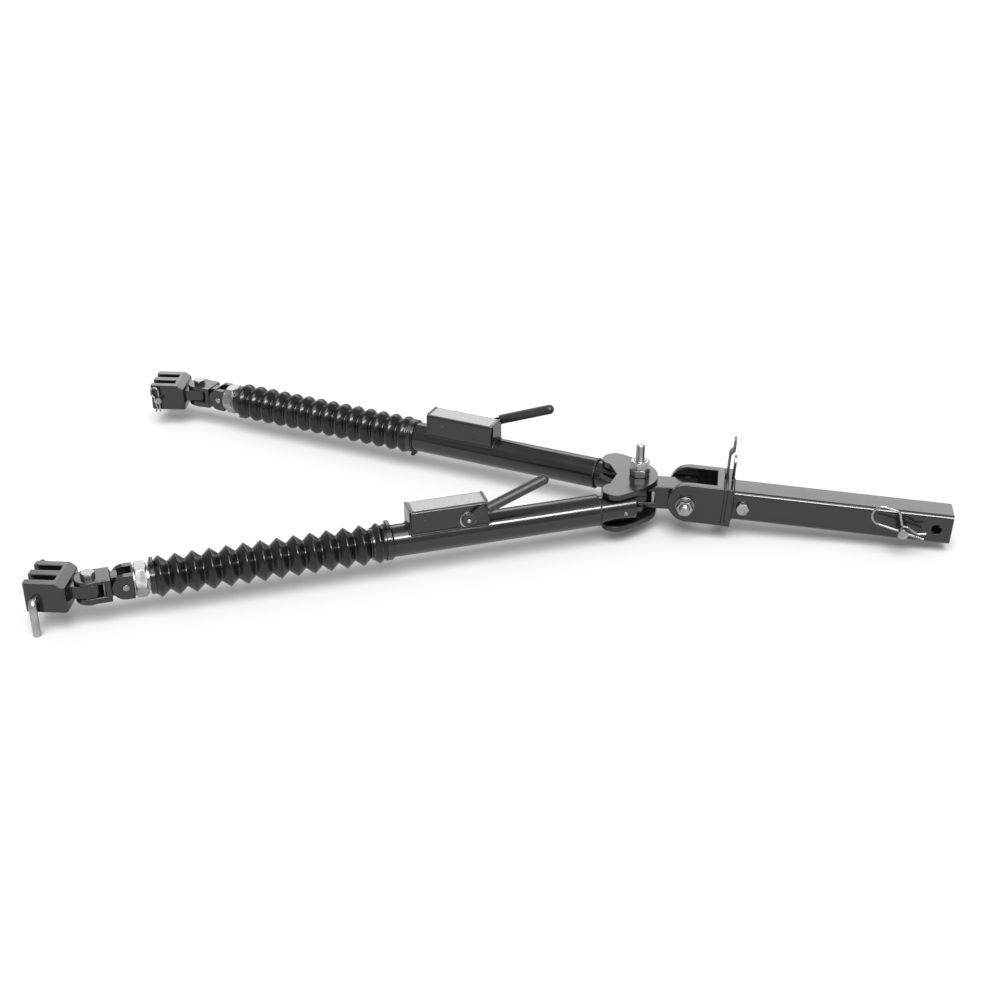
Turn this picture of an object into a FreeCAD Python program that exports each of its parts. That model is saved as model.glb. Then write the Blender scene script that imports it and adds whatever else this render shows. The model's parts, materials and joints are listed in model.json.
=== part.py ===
import FreeCAD, Part
import Sketcher
import math
import os
import re

# Self-aligning tow bar: a receiver shank, a swivel and yoke, a pivoting head and two telescoping legs.
# Row frame: +X runs along the bisector of the two legs towards the receiver, +Z is up,
# and the origin is the centre of the receiver pin bore. Millimetres and degrees.

LAYOUT = {
    "arm_angle": 20.6,  # each arm, from the bisector
    "arm_offset": 35.9,  # arm axis, outside the king bolt axis
    "tongue_yaw": 4.9,  # tongue, to the right of the bisector
    "shank_pitch": 2.77,  # shank, nose down
    "yoke_distance": 76.9,  # king bolt axis to yoke bolt axis
    "yoke_height": 3.95,  # yoke bolt, above the arm axes
    "running_gap": 0.07,  # radial, at pins that turn
    "free_gap": 0.4,  # between parts that pass each other
    "overcut": 1,  # how far a cut runs past a face, or a slab into its neighbour
}
SHANK = {
    "shank_side": 50.8,
    "shank_wall": 6.35,
    "shank_corner": 7,
    "shank_start": 74.8,
    "shank_end": 423.1,
    "receiver_pin_at": 398.9,
    "receiver_bore": 16.5,
    "hitch_pin_at": 344,
    "hitch_pin_size": 15.9,
    "hitch_pin_near": 56,
    "hitch_pin_far": 40,
    "hitch_pin_drop": 62,
    "hitch_pin_bend": 16,
    "plate_half_width": 38,
    "plate_low": 31.4,
    "plate_high": 35.5,
    "front_plate_start": 65.3,
    "swivel_plate_start": 60,
    "swivel_plate_end": 65,
    "tab_start": 70.5,
    "tab_top": 74,
    "tab_shoulder": 67,
    "tab_near": 2,
    "tab_far": 18,
    "tab_chamfer": 5,
    "swivel_radius": 12.7,
    "swivel_end": 108,
    "swivel_neck": 9.5,
    "swivel_neck_half": 6.6,
    "bushing_radius": 19,
    "bushing_end": 112,
    "retaining_at": 92.4,
    "retaining_radius": 6,
    "retaining_tip": 10.4,
    "retaining_head": 8,
    "retaining_flats": 19,
}
LATCH = {
    "strip_back": 64.9,
    "strip_thickness": 4,
    "strip_width": 16,
    "strip_centre": 8,
    "strip_jog": 5.5,
    "strip_jog_low": 79,
    "strip_jog_high": 86,
    "strip_top": 106,
    "strip_hole_at": 96,
    "strip_hole_radius": 4.5,
    "foot_low": 24,
    "foot_high": 28.5,
    "foot_width": 8,
    "foot_reach": 4.2,
    "track_inner": 23.6,
    "track_outer": 30.2,
    "track_depth": 4.5,
    "strip_travel": 10,
}
YOKE = {
    "yoke_half_width": 38.4,
    "cheek_thickness": 12,
    "yoke_round": 33.5,
    "yoke_round_at": 5.1,
    "yoke_round_height": 2.5,
    "yoke_end": 60,
    "web_start": 47.5,
    "yoke_bolt_radius": 8,
    "yoke_bolt_near": 60,
    "yoke_washer_radius": 15,
    "yoke_washer_thickness": 3,
    "yoke_nut_flats": 24,
    "yoke_nut_thickness": 12.5,
    "yoke_head_thickness": 10,
    "tongue_spacer_radius": 16,
}
HEAD = {
    "tongue_half_width": 20,
    "tongue_low": 16.5,
    "tongue_high": 23.5,
    "tongue_end": 95,
    "fork_radius": 22,
    "fork_low": 6.5,
    "fork_high": 13.5,
    "fork_reach": 27,
    "tongue_bush_radius": 10.5,
    "plate_inner": 24,
    "head_plate_thickness": 9.5,
    "lobe_x": 38.5,
    "lobe_y": 53,
    "lobe_radius": 22,
    "flank_x": 6,
    "flank_y": 58,
    "lobe_tangent_x": 26.4,
    "lobe_tangent_y": 71.4,
    "lobe_corner_x": 47.7,
    "lobe_corner_y": 33,
    "notch_x": 37,
    "nose_tip": 53,
    "king_radius": 9.5,
    "stud_radius": 7,
    "stud_top": 88,
    "king_nut_flats": 28.6,
    "king_nut_thickness": 13,
    "king_nut_turn": 12,
    "king_head_thickness": 12,
    "king_spacer_radius": 16,
}
ARM = {
    "tube_radius": 25.4,
    "tube_bore": 19.15,
    "tube_start": 86.3,
    "tube_end": 457,
    "knuckle_radius": 22.25,
    "knuckle_bore": 15,
    "knuckle_start": 25,
    "spigot_radius": 19.05,
    "spigot_end": 91,
    "eye_radius": 22,
    "eye_thickness": 9.3,
    "right_eye_centre": -1.35,
    "left_eye_centre": 8.35,
    "eye_web_end": 80,
    "box_start": 271.9,
    "box_end": 398,
    "box_half_width": 19.7,
    "box_top": 54.7,
    "box_wall": 3,
    "boot_start": 424,
    "boot_end": 792.5,
    "boot_radius": 29.5,
    "boot_wall": 3,
    "cuff_end": 446,
    "cuff_radius": 27.6,
    "clamp_at": 431,
    "clamp_width": 10,
    "clamp_thickness": 1.6,
    "clamp_screw_length": 16,
    "clamp_screw_size": 8,
}
LEVER = {
    "lever_at": 306,
    "lever_height": 30,
    "lever_hub_radius": 11,
    "lever_hub_inner": 20.1,
    "lever_hub_outer": 25.5,
    "lever_shaft_radius": 4.2,
    "lever_shaft_end": 12,
    "grip_root_at": 277,
    "grip_root_height": 49.5,
    "grip_tip_at": 187,
    "grip_tip_height": 86,
    "grip_radius": 8.2,
    "grip_outward": 28.8,
    "arm_bar_width": 15,
    "lever_arm_thickness": 5.4,
    "crank_length": 28,
    "crank_width": 5,
    "crank_inner": 6.6,
    "crank_thickness": 4,
    "crank_angle": 17.5,
    "screw_head_radius": 6.5,
    "screw_head_end": 30,
    "screw_washer_thickness": 1.6,
    "lever_washer_radius": 13,
    "plunger_at": 330,
    "plunger_radius": 6,
    "plunger_low": 20,
    "collar_low": 41.1,
    "collar_high": 44,
    "collar_radius": 9,
    "plunger_top": 48.5,
    "plunger_tip_radius": 4,
    "leg_hole_radius": 6.6,
    "spring_radius": 6,
    "spring_wire": 0.9,
    "spring_turns": 3,
}
LEG = {
    "leg_radius": 19.05,
    "leg_bore": 12,
    "leg_start": 300,
    "leg_shoulder": 794.5,
    "leg_stud_radius": 11,
    "leg_end": 817.9,
    "collar_flats": 47.4,
    "rod_end_start": 816,
    "rod_end_half": 20,
    "cross_pin_at": 828,
    "cross_pin_radius": 5,
    "cross_pin_proud": 1,
    "rod_slot_half": 10.4,
    "rod_slot_start": 818.2,
    "clevis_tang_half": 10,
    "clevis_tang_radius": 9.6,
    "clevis_neck_half": 16.5,
    "clevis_start": 848.6,
    "clevis_high": 18,
    "clevis_low": 20,
    "clevis_bolt_at": 879.7,
    "clevis_nose": 21.3,
    "clevis_slot_high": 11.7,
    "clevis_slot_low": 9.7,
    "clevis_slot_start": 857,
    "clevis_bolt_radius": 6.35,
    "clevis_head_flats": 19,
    "clevis_head_thickness": 7.5,
}
LUG = {
    "lug_tang_radius": 20,
    "lug_tang_high": 11,
    "lug_tang_low": 9,
    "lug_back": 24,
    "lug_front": 86,
    "lug_half_height": 24,
    "lug_outer": 36.5,
    "lug_inner": 30,
    "lug_bevel_length": 12,
    "lug_bevel_height": 8,
    "slot_width": 12.5,
    "outer_slot_at": 16,
    "inner_slot_at": -11,
    "slot_start": 42.5,
    "lug_pin_at": 70,
    "lug_pin_height": -2.5,
    "lug_pin_radius": 6,
    "lug_pin_inner": 41,
    "lug_pin_outer": 48,
    "lug_pin_drop": 57,
    "lug_pin_bend": 9,
    "lug_clip_inward": 35,
}
CLIPS = {
    "hitch_wire": 2,
    "hitch_loop": 16,
    "hitch_clip_back": 56,
    "hitch_clip_neck": 18,
    "hitch_clip_front": 35,
    "hitch_clip_side": 46,
    "hitch_clip_slope": 14,
    "lug_wire": 1.5,
    "lug_loop": 7,
    "lug_clip_back": 24,
    "lug_clip_neck": 10,
    "lug_clip_front": 24,
    "clip_gap": 0.5,
}
DIMENSIONS = {**LAYOUT, **SHANK, **LATCH, **YOKE, **HEAD, **ARM, **LEVER, **LEG, **LUG, **CLIPS}
WORD = re.compile(r"[a-z]+(?:_[a-z]+)*")
X_AXIS = FreeCAD.Vector(1, 0, 0)
Y_AXIS = FreeCAD.Vector(0, 1, 0)
Z_AXIS = FreeCAD.Vector(0, 0, 1)
ORIGIN = FreeCAD.Vector(0, 0, 0)
TOLERANCE = 0.01
RIGHT = 1
LEFT = -1

doc = FreeCAD.newDocument("tow_bar")
sheet = doc.addObject("Spreadsheet::Sheet", "Dimensions")
for row, (alias, value) in enumerate(DIMENSIONS.items(), start=1):
    sheet.set(f"A{row}", alias)
    sheet.set(f"B{row}", str(value))
    sheet.setAlias(f"B{row}", alias)
doc.recompute()
parts = {}


def size(alias):
    return float(sheet.get(alias))


def bind(target, prop, formula):
    """Bind a property to a formula whose words are aliases of the sheet."""
    named = WORD.sub(lambda word: f"Dimensions.{word[0]}" if word[0] in DIMENSIONS else word[0], formula)
    target.setExpression(prop, named)


def place(x=0, y=0, z=0, axis=Z_AXIS, angle=0):
    return FreeCAD.Placement(FreeCAD.Vector(x, y, z), FreeCAD.Rotation(axis, angle))


def along(direction):
    """Rotation that takes the local Z axis to a direction."""
    return FreeCAD.Rotation(Z_AXIS, direction)


# ---------- frames ----------

TONGUE_FRAME = place(angle=-size("tongue_yaw"))
YOKE_POINT = TONGUE_FRAME.multVec(FreeCAD.Vector(size("yoke_distance"), 0, size("yoke_height")))
SHANK_TURN = FreeCAD.Rotation(-size("tongue_yaw"), size("shank_pitch"), 0)
SHANK_FRAME = FreeCAD.Placement(YOKE_POINT, SHANK_TURN)
ROW_ORIGIN = SHANK_FRAME.multVec(FreeCAD.Vector(size("receiver_pin_at"), 0, 0))
SHIFT = FreeCAD.Placement(ROW_ORIGIN.negative(), FreeCAD.Rotation())


def arm_frame(side):
    """Local X along the arm away from the head, local Y outwards on the right and inwards on the left."""
    turn = place(angle=180 + side * size("arm_angle"))
    return turn.multiply(place(y=side * size("arm_offset")))


def lug_frame(side):
    """Origin on the clevis bolt, local X towards the towed car."""
    bolt = arm_frame(side).multVec(FreeCAD.Vector(size("clevis_bolt_at"), 0, 0))
    return place(bolt.x, bolt.y, 0, Z_AXIS, 180)


def keep(part, label, frame, local=None):
    """Name a finished sub-part, put it in the row frame and list it for export."""
    part.Label = label
    part.Placement = SHIFT.multiply(frame).multiply(local or FreeCAD.Placement())
    parts[label] = part


# ---------- PartDesign helpers: slabs and cuts are centred on their sketch plane ----------


def new_body(label):
    return doc.addObject("PartDesign::Body", f"{label}_body")


def new_sketch(body, plane, centre):
    sketch = body.newObject("Sketcher::SketchObject", "outline")
    support = [datum for datum in body.Origin.OriginFeatures if datum.Role == f"{plane}_Plane"][0]
    sketch.AttachmentSupport = [(support, "")]
    sketch.MapMode = "FlatFace"
    sign = "-" if plane == "XZ" else ""
    bind(sketch, "AttachmentOffset.Base.z", f"{sign}({centre})")
    return sketch


def constrain(sketch, kind, first, point, formula):
    index = sketch.addConstraint(Sketcher.Constraint(kind, -1, 1, first, point, 1.0))
    bind(sketch, f"Constraints[{index}]", formula)


def add_polygon(sketch, corners):
    first = sketch.GeometryCount
    count = len(corners)
    spots = [place(angle=360 * i / count).multVec(X_AXIS * 10) for i in range(count)]
    for i in range(count):
        sketch.addGeometry(Part.LineSegment(spots[i], spots[(i + 1) % count]))
    for i in range(count):
        sketch.addConstraint(Sketcher.Constraint("Coincident", first + i, 2, first + (i + 1) % count, 1))
    for i, (across, up) in enumerate(corners):
        constrain(sketch, "DistanceX", first + i, 1, across)
        constrain(sketch, "DistanceY", first + i, 1, up)


def add_circle(sketch, across, up, radius):
    index = sketch.addGeometry(Part.Circle(ORIGIN, Z_AXIS, 1.0))
    constrain(sketch, "DistanceX", index, 3, across)
    constrain(sketch, "DistanceY", index, 3, up)
    constraint = sketch.addConstraint(Sketcher.Constraint("Radius", index, 1.0))
    bind(sketch, f"Constraints[{constraint}]", radius)


def rectangle(left, right, low, high):
    return [(left, low), (right, low), (right, high), (left, high)]


def hexagon(flats):
    """Corners of a hexagon of a given size across flats, centred on the sketch origin."""
    wide = f"{flats} / sqrt(3)"
    half = f"{flats} / sqrt(12)"
    tall = f"{flats} / 2"
    return [
        (wide, "0"),
        (half, tall),
        (f"-{half}", tall),
        (f"-{wide}", "0"),
        (f"-{half}", f"-{tall}"),
        (half, f"-{tall}"),
    ]


def draw(sketch, polygons, circles):
    for corners in polygons:
        add_polygon(sketch, corners)
    for circle in circles:
        add_circle(sketch, *circle)
    doc.recompute()


def slab(body, plane, centre, thickness, polygons=(), circles=()):
    sketch = new_sketch(body, plane, centre)
    draw(sketch, polygons, circles)
    pad = body.newObject("PartDesign::Pad", "slab")
    pad.Profile = sketch
    pad.SideType = "Symmetric"
    bind(pad, "Length", thickness)
    doc.recompute()
    return pad


def cut(body, plane, centre, thickness, polygons=(), circles=()):
    before = body.Shape.Volume
    sketch = new_sketch(body, plane, centre)
    draw(sketch, polygons, circles)
    pocket = body.newObject("PartDesign::Pocket", "cut")
    pocket.Profile = sketch
    pocket.Midplane = True
    bind(pocket, "Length", thickness)
    doc.recompute()
    if not body.Shape.Volume < before:
        raise RuntimeError(f"a cut in {body.Name} takes nothing away")
    return pocket


def turned(body, corners, axis="V_Axis"):
    """Revolve a profile of the XZ plane: about Z with V_Axis, about X with H_Axis."""
    sketch = new_sketch(body, "XZ", "0")
    draw(sketch, [corners], [])
    revolution = body.newObject("PartDesign::Revolution", "turned")
    revolution.Profile = sketch
    revolution.ReferenceAxis = (sketch, [axis])
    revolution.Angle = 360
    doc.recompute()
    return revolution


def dress(body, kind, prop, formula, chosen):
    """Fillet or chamfer the edges of the body's last shape that a test chooses."""
    base = body.Tip
    names = [f"Edge{i}" for i, edge in enumerate(base.Shape.Edges, start=1) if chosen(edge)]
    feature = body.newObject(f"PartDesign::{kind}", kind.lower())
    feature.Base = (base, names)
    bind(feature, prop, formula)
    doc.recompute()
    return feature


def runs_along(edge, axis):
    if len(edge.Vertexes) < 2:
        return False
    run = edge.Vertexes[1].Point - edge.Vertexes[0].Point
    return run.Length > TOLERANCE and run.cross(axis).Length < TOLERANCE


# ---------- Part helpers ----------


def cylinder(radius, height, placement):
    part = doc.addObject("Part::Cylinder", "cylinder")
    bind(part, "Radius", radius)
    bind(part, "Height", height)
    part.Placement = placement
    return part


def block(length, width, height, placement):
    part = doc.addObject("Part::Box", "block")
    bind(part, "Length", length)
    bind(part, "Width", width)
    bind(part, "Height", height)
    part.Placement = placement
    return part


def hex_prism(flats, height, placement):
    part = doc.addObject("Part::Prism", "prism")
    part.Polygon = 6
    bind(part, "Circumradius", f"{flats} * 0.57735")
    bind(part, "Height", height)
    part.Placement = placement
    return part


def fuse(shapes):
    part = doc.addObject("Part::MultiFuse", "fuse")
    part.Shapes = shapes
    return part


def subtract(base, tool):
    part = doc.addObject("Part::Cut", "difference")
    part.Base = base
    part.Tool = tool
    return part


def group(links):
    part = doc.addObject("Part::Compound", "group")
    part.Links = links
    return part


def ring(outer, inner, height, placement):
    return subtract(cylinder(outer, height, placement), cylinder(inner, height, placement))


def nut(flats, inner, height, placement):
    return subtract(hex_prism(flats, height, placement), cylinder(inner, height, placement))


def rounded_path(corners):
    """A wire of straight runs joined by tangent arcs; each corner is (point, bend radius)."""
    points = [corner[0] for corner in corners]
    edges = []
    start = points[0]
    for i in range(1, len(points) - 1):
        back = (points[i - 1] - points[i]).normalize()
        ahead = (points[i + 1] - points[i]).normalize()
        half = back.getAngle(ahead) / 2
        radius = corners[i][1]
        reach = radius / math.tan(half)
        middle = points[i] + (back + ahead).normalize() * (radius / math.sin(half) - radius)
        arc_start = points[i] + back * reach
        arc_end = points[i] + ahead * reach
        if (arc_start - start).Length > 1e-6:
            edges.append(Part.LineSegment(start, arc_start).toShape())
        edges.append(Part.Arc(arc_start, middle, arc_end).toShape())
        start = arc_end
    edges.append(Part.LineSegment(start, points[-1]).toShape())
    return Part.Wire(edges)


def bent_rod(corners, radius):
    """A round rod swept along a rounded path."""
    path = rounded_path(corners)
    first = path.Edges[0]
    direction = first.tangentAt(first.FirstParameter)
    profile = Part.Wire([Part.makeCircle(radius, corners[0][0], direction)])
    return path.makePipeShell([profile], True, False)


def formed(label, shape):
    part = doc.addObject("Part::Feature", f"{label}_formed")
    part.Shape = shape
    return part


# ---------- shank ----------


def shank_tube():
    body = new_body("shank_tube")
    middle = "(shank_start + shank_end) / 2"
    length = "shank_end - shank_start"
    half = "shank_side / 2"
    inner = "(shank_side / 2 - shank_wall)"
    slab(body, "YZ", middle, length, [rectangle(f"-{half}", half, f"-{half}", half)])
    dress(body, "Fillet", "Radius", "shank_corner", lambda edge: runs_along(edge, X_AXIS))
    cut(body, "YZ", middle, length, [rectangle(f"-{inner}", inner, f"-{inner}", inner)])
    bores = [
        ("receiver_pin_at", "0", "receiver_bore / 2"),
        ("hitch_pin_at", "0", "(hitch_pin_size + free_gap) / 2"),
    ]
    cut(body, "XZ", "0", "shank_side", circles=bores)
    bolt_hole = ("retaining_at", "0", "retaining_radius + running_gap")
    cut(body, "XZ", f"-{half}", "(shank_wall + overcut) * 2", circles=[bolt_hole])
    keep(body, "shank_tube", SHANK_FRAME)


def shank_front_plate():
    body = new_body("shank_front_plate")
    side = "plate_half_width"
    outline = rectangle(f"-{side}", side, "-plate_low", "plate_high")
    middle = "(front_plate_start + shank_start) / 2"
    slab(body, "YZ", middle, "shank_start - front_plate_start", [outline])
    tab = [
        ("-tab_near", "plate_high - track_depth"),
        ("tab_far", "plate_high - track_depth"),
        ("tab_far", "tab_shoulder"),
        ("tab_far - tab_chamfer", "tab_top"),
        ("tab_chamfer - tab_near", "tab_top"),
        ("-tab_near", "tab_shoulder"),
    ]
    slab(body, "YZ", "(tab_start + shank_start) / 2", "shank_start - tab_start", [tab])
    bore = ("0", "0", "swivel_radius + running_gap")
    cut(body, "YZ", middle, "shank_start - front_plate_start", circles=[bore])
    track = "front_plate_start + track_depth / 2"
    cut(body, "YZ", track, "track_depth", circles=[("0", "0", "track_inner"), ("0", "0", "track_outer")])
    near = "-free_gap"
    far = "(foot_width + free_gap)"
    low = "(foot_low - strip_travel - free_gap)"
    high = "(track_inner + track_outer) / 2"
    notches = [
        rectangle(near, far, low, high),
        rectangle(low, high, f"-{far}", "free_gap"),
        rectangle(f"-({high})", f"-{low}", near, far),
    ]
    for notch in notches:
        cut(body, "YZ", track, "track_depth", [notch])
    keep(body, "shank_front_plate", SHANK_FRAME)


def swivel_bushing():
    body = new_body("swivel_bushing")
    bore = "swivel_radius + running_gap"
    turned(body, rectangle("shank_start", "bushing_end", bore, "bushing_radius"), "H_Axis")
    reach = "(bushing_radius + swivel_radius) / 2"
    hole = ("retaining_at", "0", "retaining_radius + running_gap")
    cut(body, "XZ", f"-{reach}", "bushing_radius - swivel_radius + overcut * 2", circles=[hole])
    keep(body, "swivel_bushing", SHANK_FRAME)


def retaining_bolt():
    """Hex bolt through the right wall of the shank; its tip rides in the neck of the swivel shaft."""
    body = new_body("retaining_bolt")
    tip = "retaining_tip"
    face = "shank_side / 2"
    turned(body, rectangle("0", "retaining_radius", tip, face))
    slab(body, "XY", f"{face} + retaining_head / 2", "retaining_head", [hexagon("retaining_flats")])
    keep(body, "retaining_bolt", SHANK_FRAME, place(x=size("retaining_at"), axis=X_AXIS, angle=90))


def hairpin(label, pin_radius, kind, frame, local):
    """Hairpin clip: a straight leg across the pin at the origin, a loop, and a leg that hugs the pin."""
    radius = size(f"{kind}_wire")
    bow = size(f"{kind}_loop")
    far = -size(f"{kind}_clip_back")
    neck = -size(f"{kind}_clip_neck")
    tip = size(f"{kind}_clip_front")
    crest = pin_radius + radius + size("clip_gap")
    flat = [
        (tip, 0, 0),
        (far, 0, bow),
        (far, 2 * bow, bow),
        (neck, 2 * bow, bow / 2),
        (-crest / 2, crest, bow / 4),
        (crest / 2, crest, bow / 2),
        ((crest + tip) / 2, crest / 2, bow / 2),
        (tip, crest, 0),
    ]
    corners = [(FreeCAD.Vector(x, 0, z), bend) for x, z, bend in flat]
    keep(formed(label, bent_rod(corners, radius)), label, frame, local)


def crossed(rod, wire, at, direction, reach):
    """Drill the small hole for a hairpin's straight leg."""
    hole = Part.makeCylinder(size(wire) + size("running_gap"), 2 * reach)
    hole.Placement = FreeCAD.Placement(at - direction * reach, along(direction))
    return rod.cut(hole)


def hitch_pin():
    radius = size("hitch_pin_size") / 2
    side = -size("hitch_clip_side")
    corners = [
        (FreeCAD.Vector(0, -size("hitch_pin_near"), 0), 0),
        (FreeCAD.Vector(0, size("hitch_pin_far"), 0), size("hitch_pin_bend")),
        (FreeCAD.Vector(size("hitch_pin_drop"), size("hitch_pin_far"), 0), 0),
    ]
    slope = FreeCAD.Rotation(Y_AXIS, size("hitch_clip_slope"))
    rod = bent_rod(corners, radius)
    rod = crossed(rod, "hitch_wire", FreeCAD.Vector(0, side, 0), slope.multVec(X_AXIS), radius * 2)
    keep(formed("hitch_pin", rod), "hitch_pin", SHANK_FRAME, place(x=size("hitch_pin_at")))
    local = FreeCAD.Placement(FreeCAD.Vector(size("hitch_pin_at"), side, 0), slope)
    hairpin("hitch_pin_clip", radius, "hitch", SHANK_FRAME, local)


# ---------- swivel and yoke ----------


def swivel_plate():
    body = new_body("swivel_plate")
    side = "plate_half_width"
    middle = "(swivel_plate_start + swivel_plate_end) / 2"
    thick = "swivel_plate_end - swivel_plate_start"
    slab(body, "YZ", middle, thick, [rectangle(f"-{side}", side, "-plate_low", "plate_high")])
    cut(body, "YZ", middle, thick, circles=[("0", "0", "swivel_radius")])
    near = "strip_centre - strip_width / 2 - free_gap"
    far = "strip_centre + strip_width / 2 + free_gap"
    low = "foot_low - strip_travel - free_gap"
    cut(body, "YZ", middle, thick, [rectangle(near, far, low, "plate_high + free_gap")])
    keep(body, "swivel_plate", SHANK_FRAME)


def swivel_shaft():
    body = new_body("swivel_shaft")
    neck_start = "retaining_at - swivel_neck_half"
    neck_end = "retaining_at + swivel_neck_half"
    profile = [
        ("swivel_plate_start", "0"),
        ("swivel_end", "0"),
        ("swivel_end", "swivel_radius"),
        (neck_end, "swivel_radius"),
        (neck_end, "swivel_neck"),
        (neck_start, "swivel_neck"),
        (neck_start, "swivel_radius"),
        ("swivel_plate_start", "swivel_radius"),
    ]
    turned(body, profile, "H_Axis")
    keep(body, "swivel_shaft", SHANK_FRAME)


def swivel_latch():
    """Z-shaped strip in the swivel plate; pushed down, its foot drops into a notch of the front plate."""
    body = new_body("swivel_latch")
    back = "strip_back"
    front = "(strip_back - strip_thickness)"
    strip = [
        (front, "foot_low"),
        (back, "foot_low"),
        (back, "strip_jog_low"),
        (f"{back} + strip_jog", "strip_jog_high"),
        (f"{back} + strip_jog", "strip_top"),
        (f"{front} + strip_jog", "strip_top"),
        (f"{front} + strip_jog", "strip_jog_high + strip_thickness / 4"),
        (front, "strip_jog_low + strip_thickness / 4"),
    ]
    slab(body, "XZ", "strip_centre", "strip_width", [strip])
    foot = rectangle(f"{back} - strip_thickness / 2", f"{back} + foot_reach", "foot_low", "foot_high")
    slab(body, "XZ", "foot_width / 2", "foot_width", [foot])
    hole = ("strip_centre", "strip_hole_at", "strip_hole_radius")
    cut(body, "YZ", f"{back} + strip_jog", "strip_thickness * 3", circles=[hole])
    keep(body, "swivel_latch", SHANK_FRAME)


def yoke():
    body = new_body("yoke")
    wide = "yoke_half_width * 2"
    round_end = ("yoke_round_at", "yoke_round_height", "yoke_round")
    slab(body, "XZ", "0", wide, circles=[round_end])
    low = "yoke_round_height - yoke_round"
    high = "yoke_round_height + yoke_round"
    slab(body, "XZ", "0", wide, [rectangle("yoke_round_at", "yoke_end", low, high)])
    slot = rectangle("-yoke_round", "web_start", f"{low} - free_gap", f"{high} + free_gap")
    cut(body, "XZ", "0", "(yoke_half_width - cheek_thickness) * 2", [slot])
    cut(body, "XZ", "0", wide, circles=[("0", "0", "yoke_bolt_radius")])
    keep(body, "yoke", SHANK_FRAME)


def yoke_fasteners():
    """Bolt along the lateral axis with its head on the left and its nut on the right."""
    across = place(axis=X_AXIS, angle=90)
    face = "yoke_half_width + yoke_washer_thickness"
    body = new_body("yoke_bolt")
    turned(body, rectangle("0", "yoke_bolt_radius", f"-({face})", "yoke_bolt_near"))
    dress(body, "Chamfer", "Size", "yoke_bolt_radius / 5", edge_top("yoke_bolt_near", "yoke_bolt_radius"))
    head_centre = f"-({face} + yoke_head_thickness / 2)"
    slab(body, "XY", head_centre, "yoke_head_thickness", [hexagon("yoke_nut_flats")])
    keep(body, "yoke_bolt", SHANK_FRAME, across)
    half = size("yoke_half_width")
    washer = size("yoke_washer_thickness")
    rings = [
        ring("yoke_washer_radius", "yoke_bolt_radius", "yoke_washer_thickness", place(z=start))
        for start in (half, -half - washer)
    ]
    keep(group(rings), "yoke_washers", SHANK_FRAME, across)
    seat = place(z=half + washer)
    outer = nut("yoke_nut_flats", "yoke_bolt_radius", "yoke_nut_thickness", seat)
    keep(outer, "yoke_nut", SHANK_FRAME, across)
    inner = size("tongue_half_width") + size("free_gap")
    width = "yoke_half_width - cheek_thickness - tongue_half_width - free_gap"
    cheek = half - size("cheek_thickness")
    spacers = [
        ring("tongue_spacer_radius", "yoke_bolt_radius", width, place(z=start))
        for start in (inner, -cheek)
    ]
    keep(group(spacers), "yoke_spacers", SHANK_FRAME, across)


def edge_top(height, radius):
    """Test for the circular edge that ends a turned pin."""
    level = size(height)
    reach = size(radius)

    def chosen(edge):
        curve = edge.Curve
        if not isinstance(curve, Part.Circle):
            return False
        return abs(curve.Center.z - level) + abs(curve.Radius - reach) < TOLERANCE

    return chosen


# ---------- tongue and head ----------


def tongue():
    body = new_body("tongue")
    side = "tongue_half_width"
    middle = "(tongue_high - tongue_low) / 2"
    tall = "tongue_high + tongue_low"
    slab(body, "XY", middle, tall, [rectangle("0", "tongue_end", f"-{side}", side)])
    slab(body, "XY", middle, tall, circles=[("0", "0", "fork_radius")])
    slot = rectangle("-fork_reach", "fork_reach", "-fork_low", "fork_high")
    cut(body, "XZ", "0", "fork_radius * 2 + fork_low", [slot])
    cut(body, "XY", middle, tall, circles=[("0", "0", "king_radius + running_gap")])
    bolt_bore = ("yoke_distance", "yoke_height", "tongue_bush_radius")
    cut(body, "XZ", "0", f"{side} * 2", circles=[bolt_bore])
    keep(body, "tongue", TONGUE_FRAME)
    half = size("tongue_half_width")
    at = place(size("yoke_distance"), half, size("yoke_height"), X_AXIS, 90)
    bush = ring("tongue_bush_radius", "yoke_bolt_radius + running_gap", f"{side} * 2", at)
    keep(bush, "tongue_bushing", TONGUE_FRAME)


def head_plate(label, centre):
    """Heart-shaped plate: two round lobes, a notch between them and a wide round nose."""
    body = new_body(label)
    half = [
        ("-flank_x", "flank_y"),
        ("-lobe_tangent_x", "lobe_tangent_y"),
        ("-lobe_x", "lobe_y"),
        ("-lobe_corner_x", "lobe_corner_y"),
    ]
    mirrored = [(across, f"-{up}") for across, up in reversed(half)]
    corners = [("nose_tip", "0")] + half + [("-notch_x", "0")] + mirrored
    slab(body, "XY", centre, "head_plate_thickness", [corners])
    tip = size("nose_tip")
    dress(body, "Fillet", "Radius", "nose_tip", lambda edge: upright_at(edge, tip))
    lobes = [("-lobe_x", "lobe_y", "lobe_radius"), ("-lobe_x", "-lobe_y", "lobe_radius")]
    for lobe in lobes:
        slab(body, "XY", centre, "head_plate_thickness", circles=[lobe])
    cut(body, "XY", centre, "head_plate_thickness", circles=[("0", "0", "king_radius")])
    keep(body, label, place())


def upright_at(edge, x):
    return runs_along(edge, Z_AXIS) and abs(edge.Vertexes[0].X - x) < TOLERANCE


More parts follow.
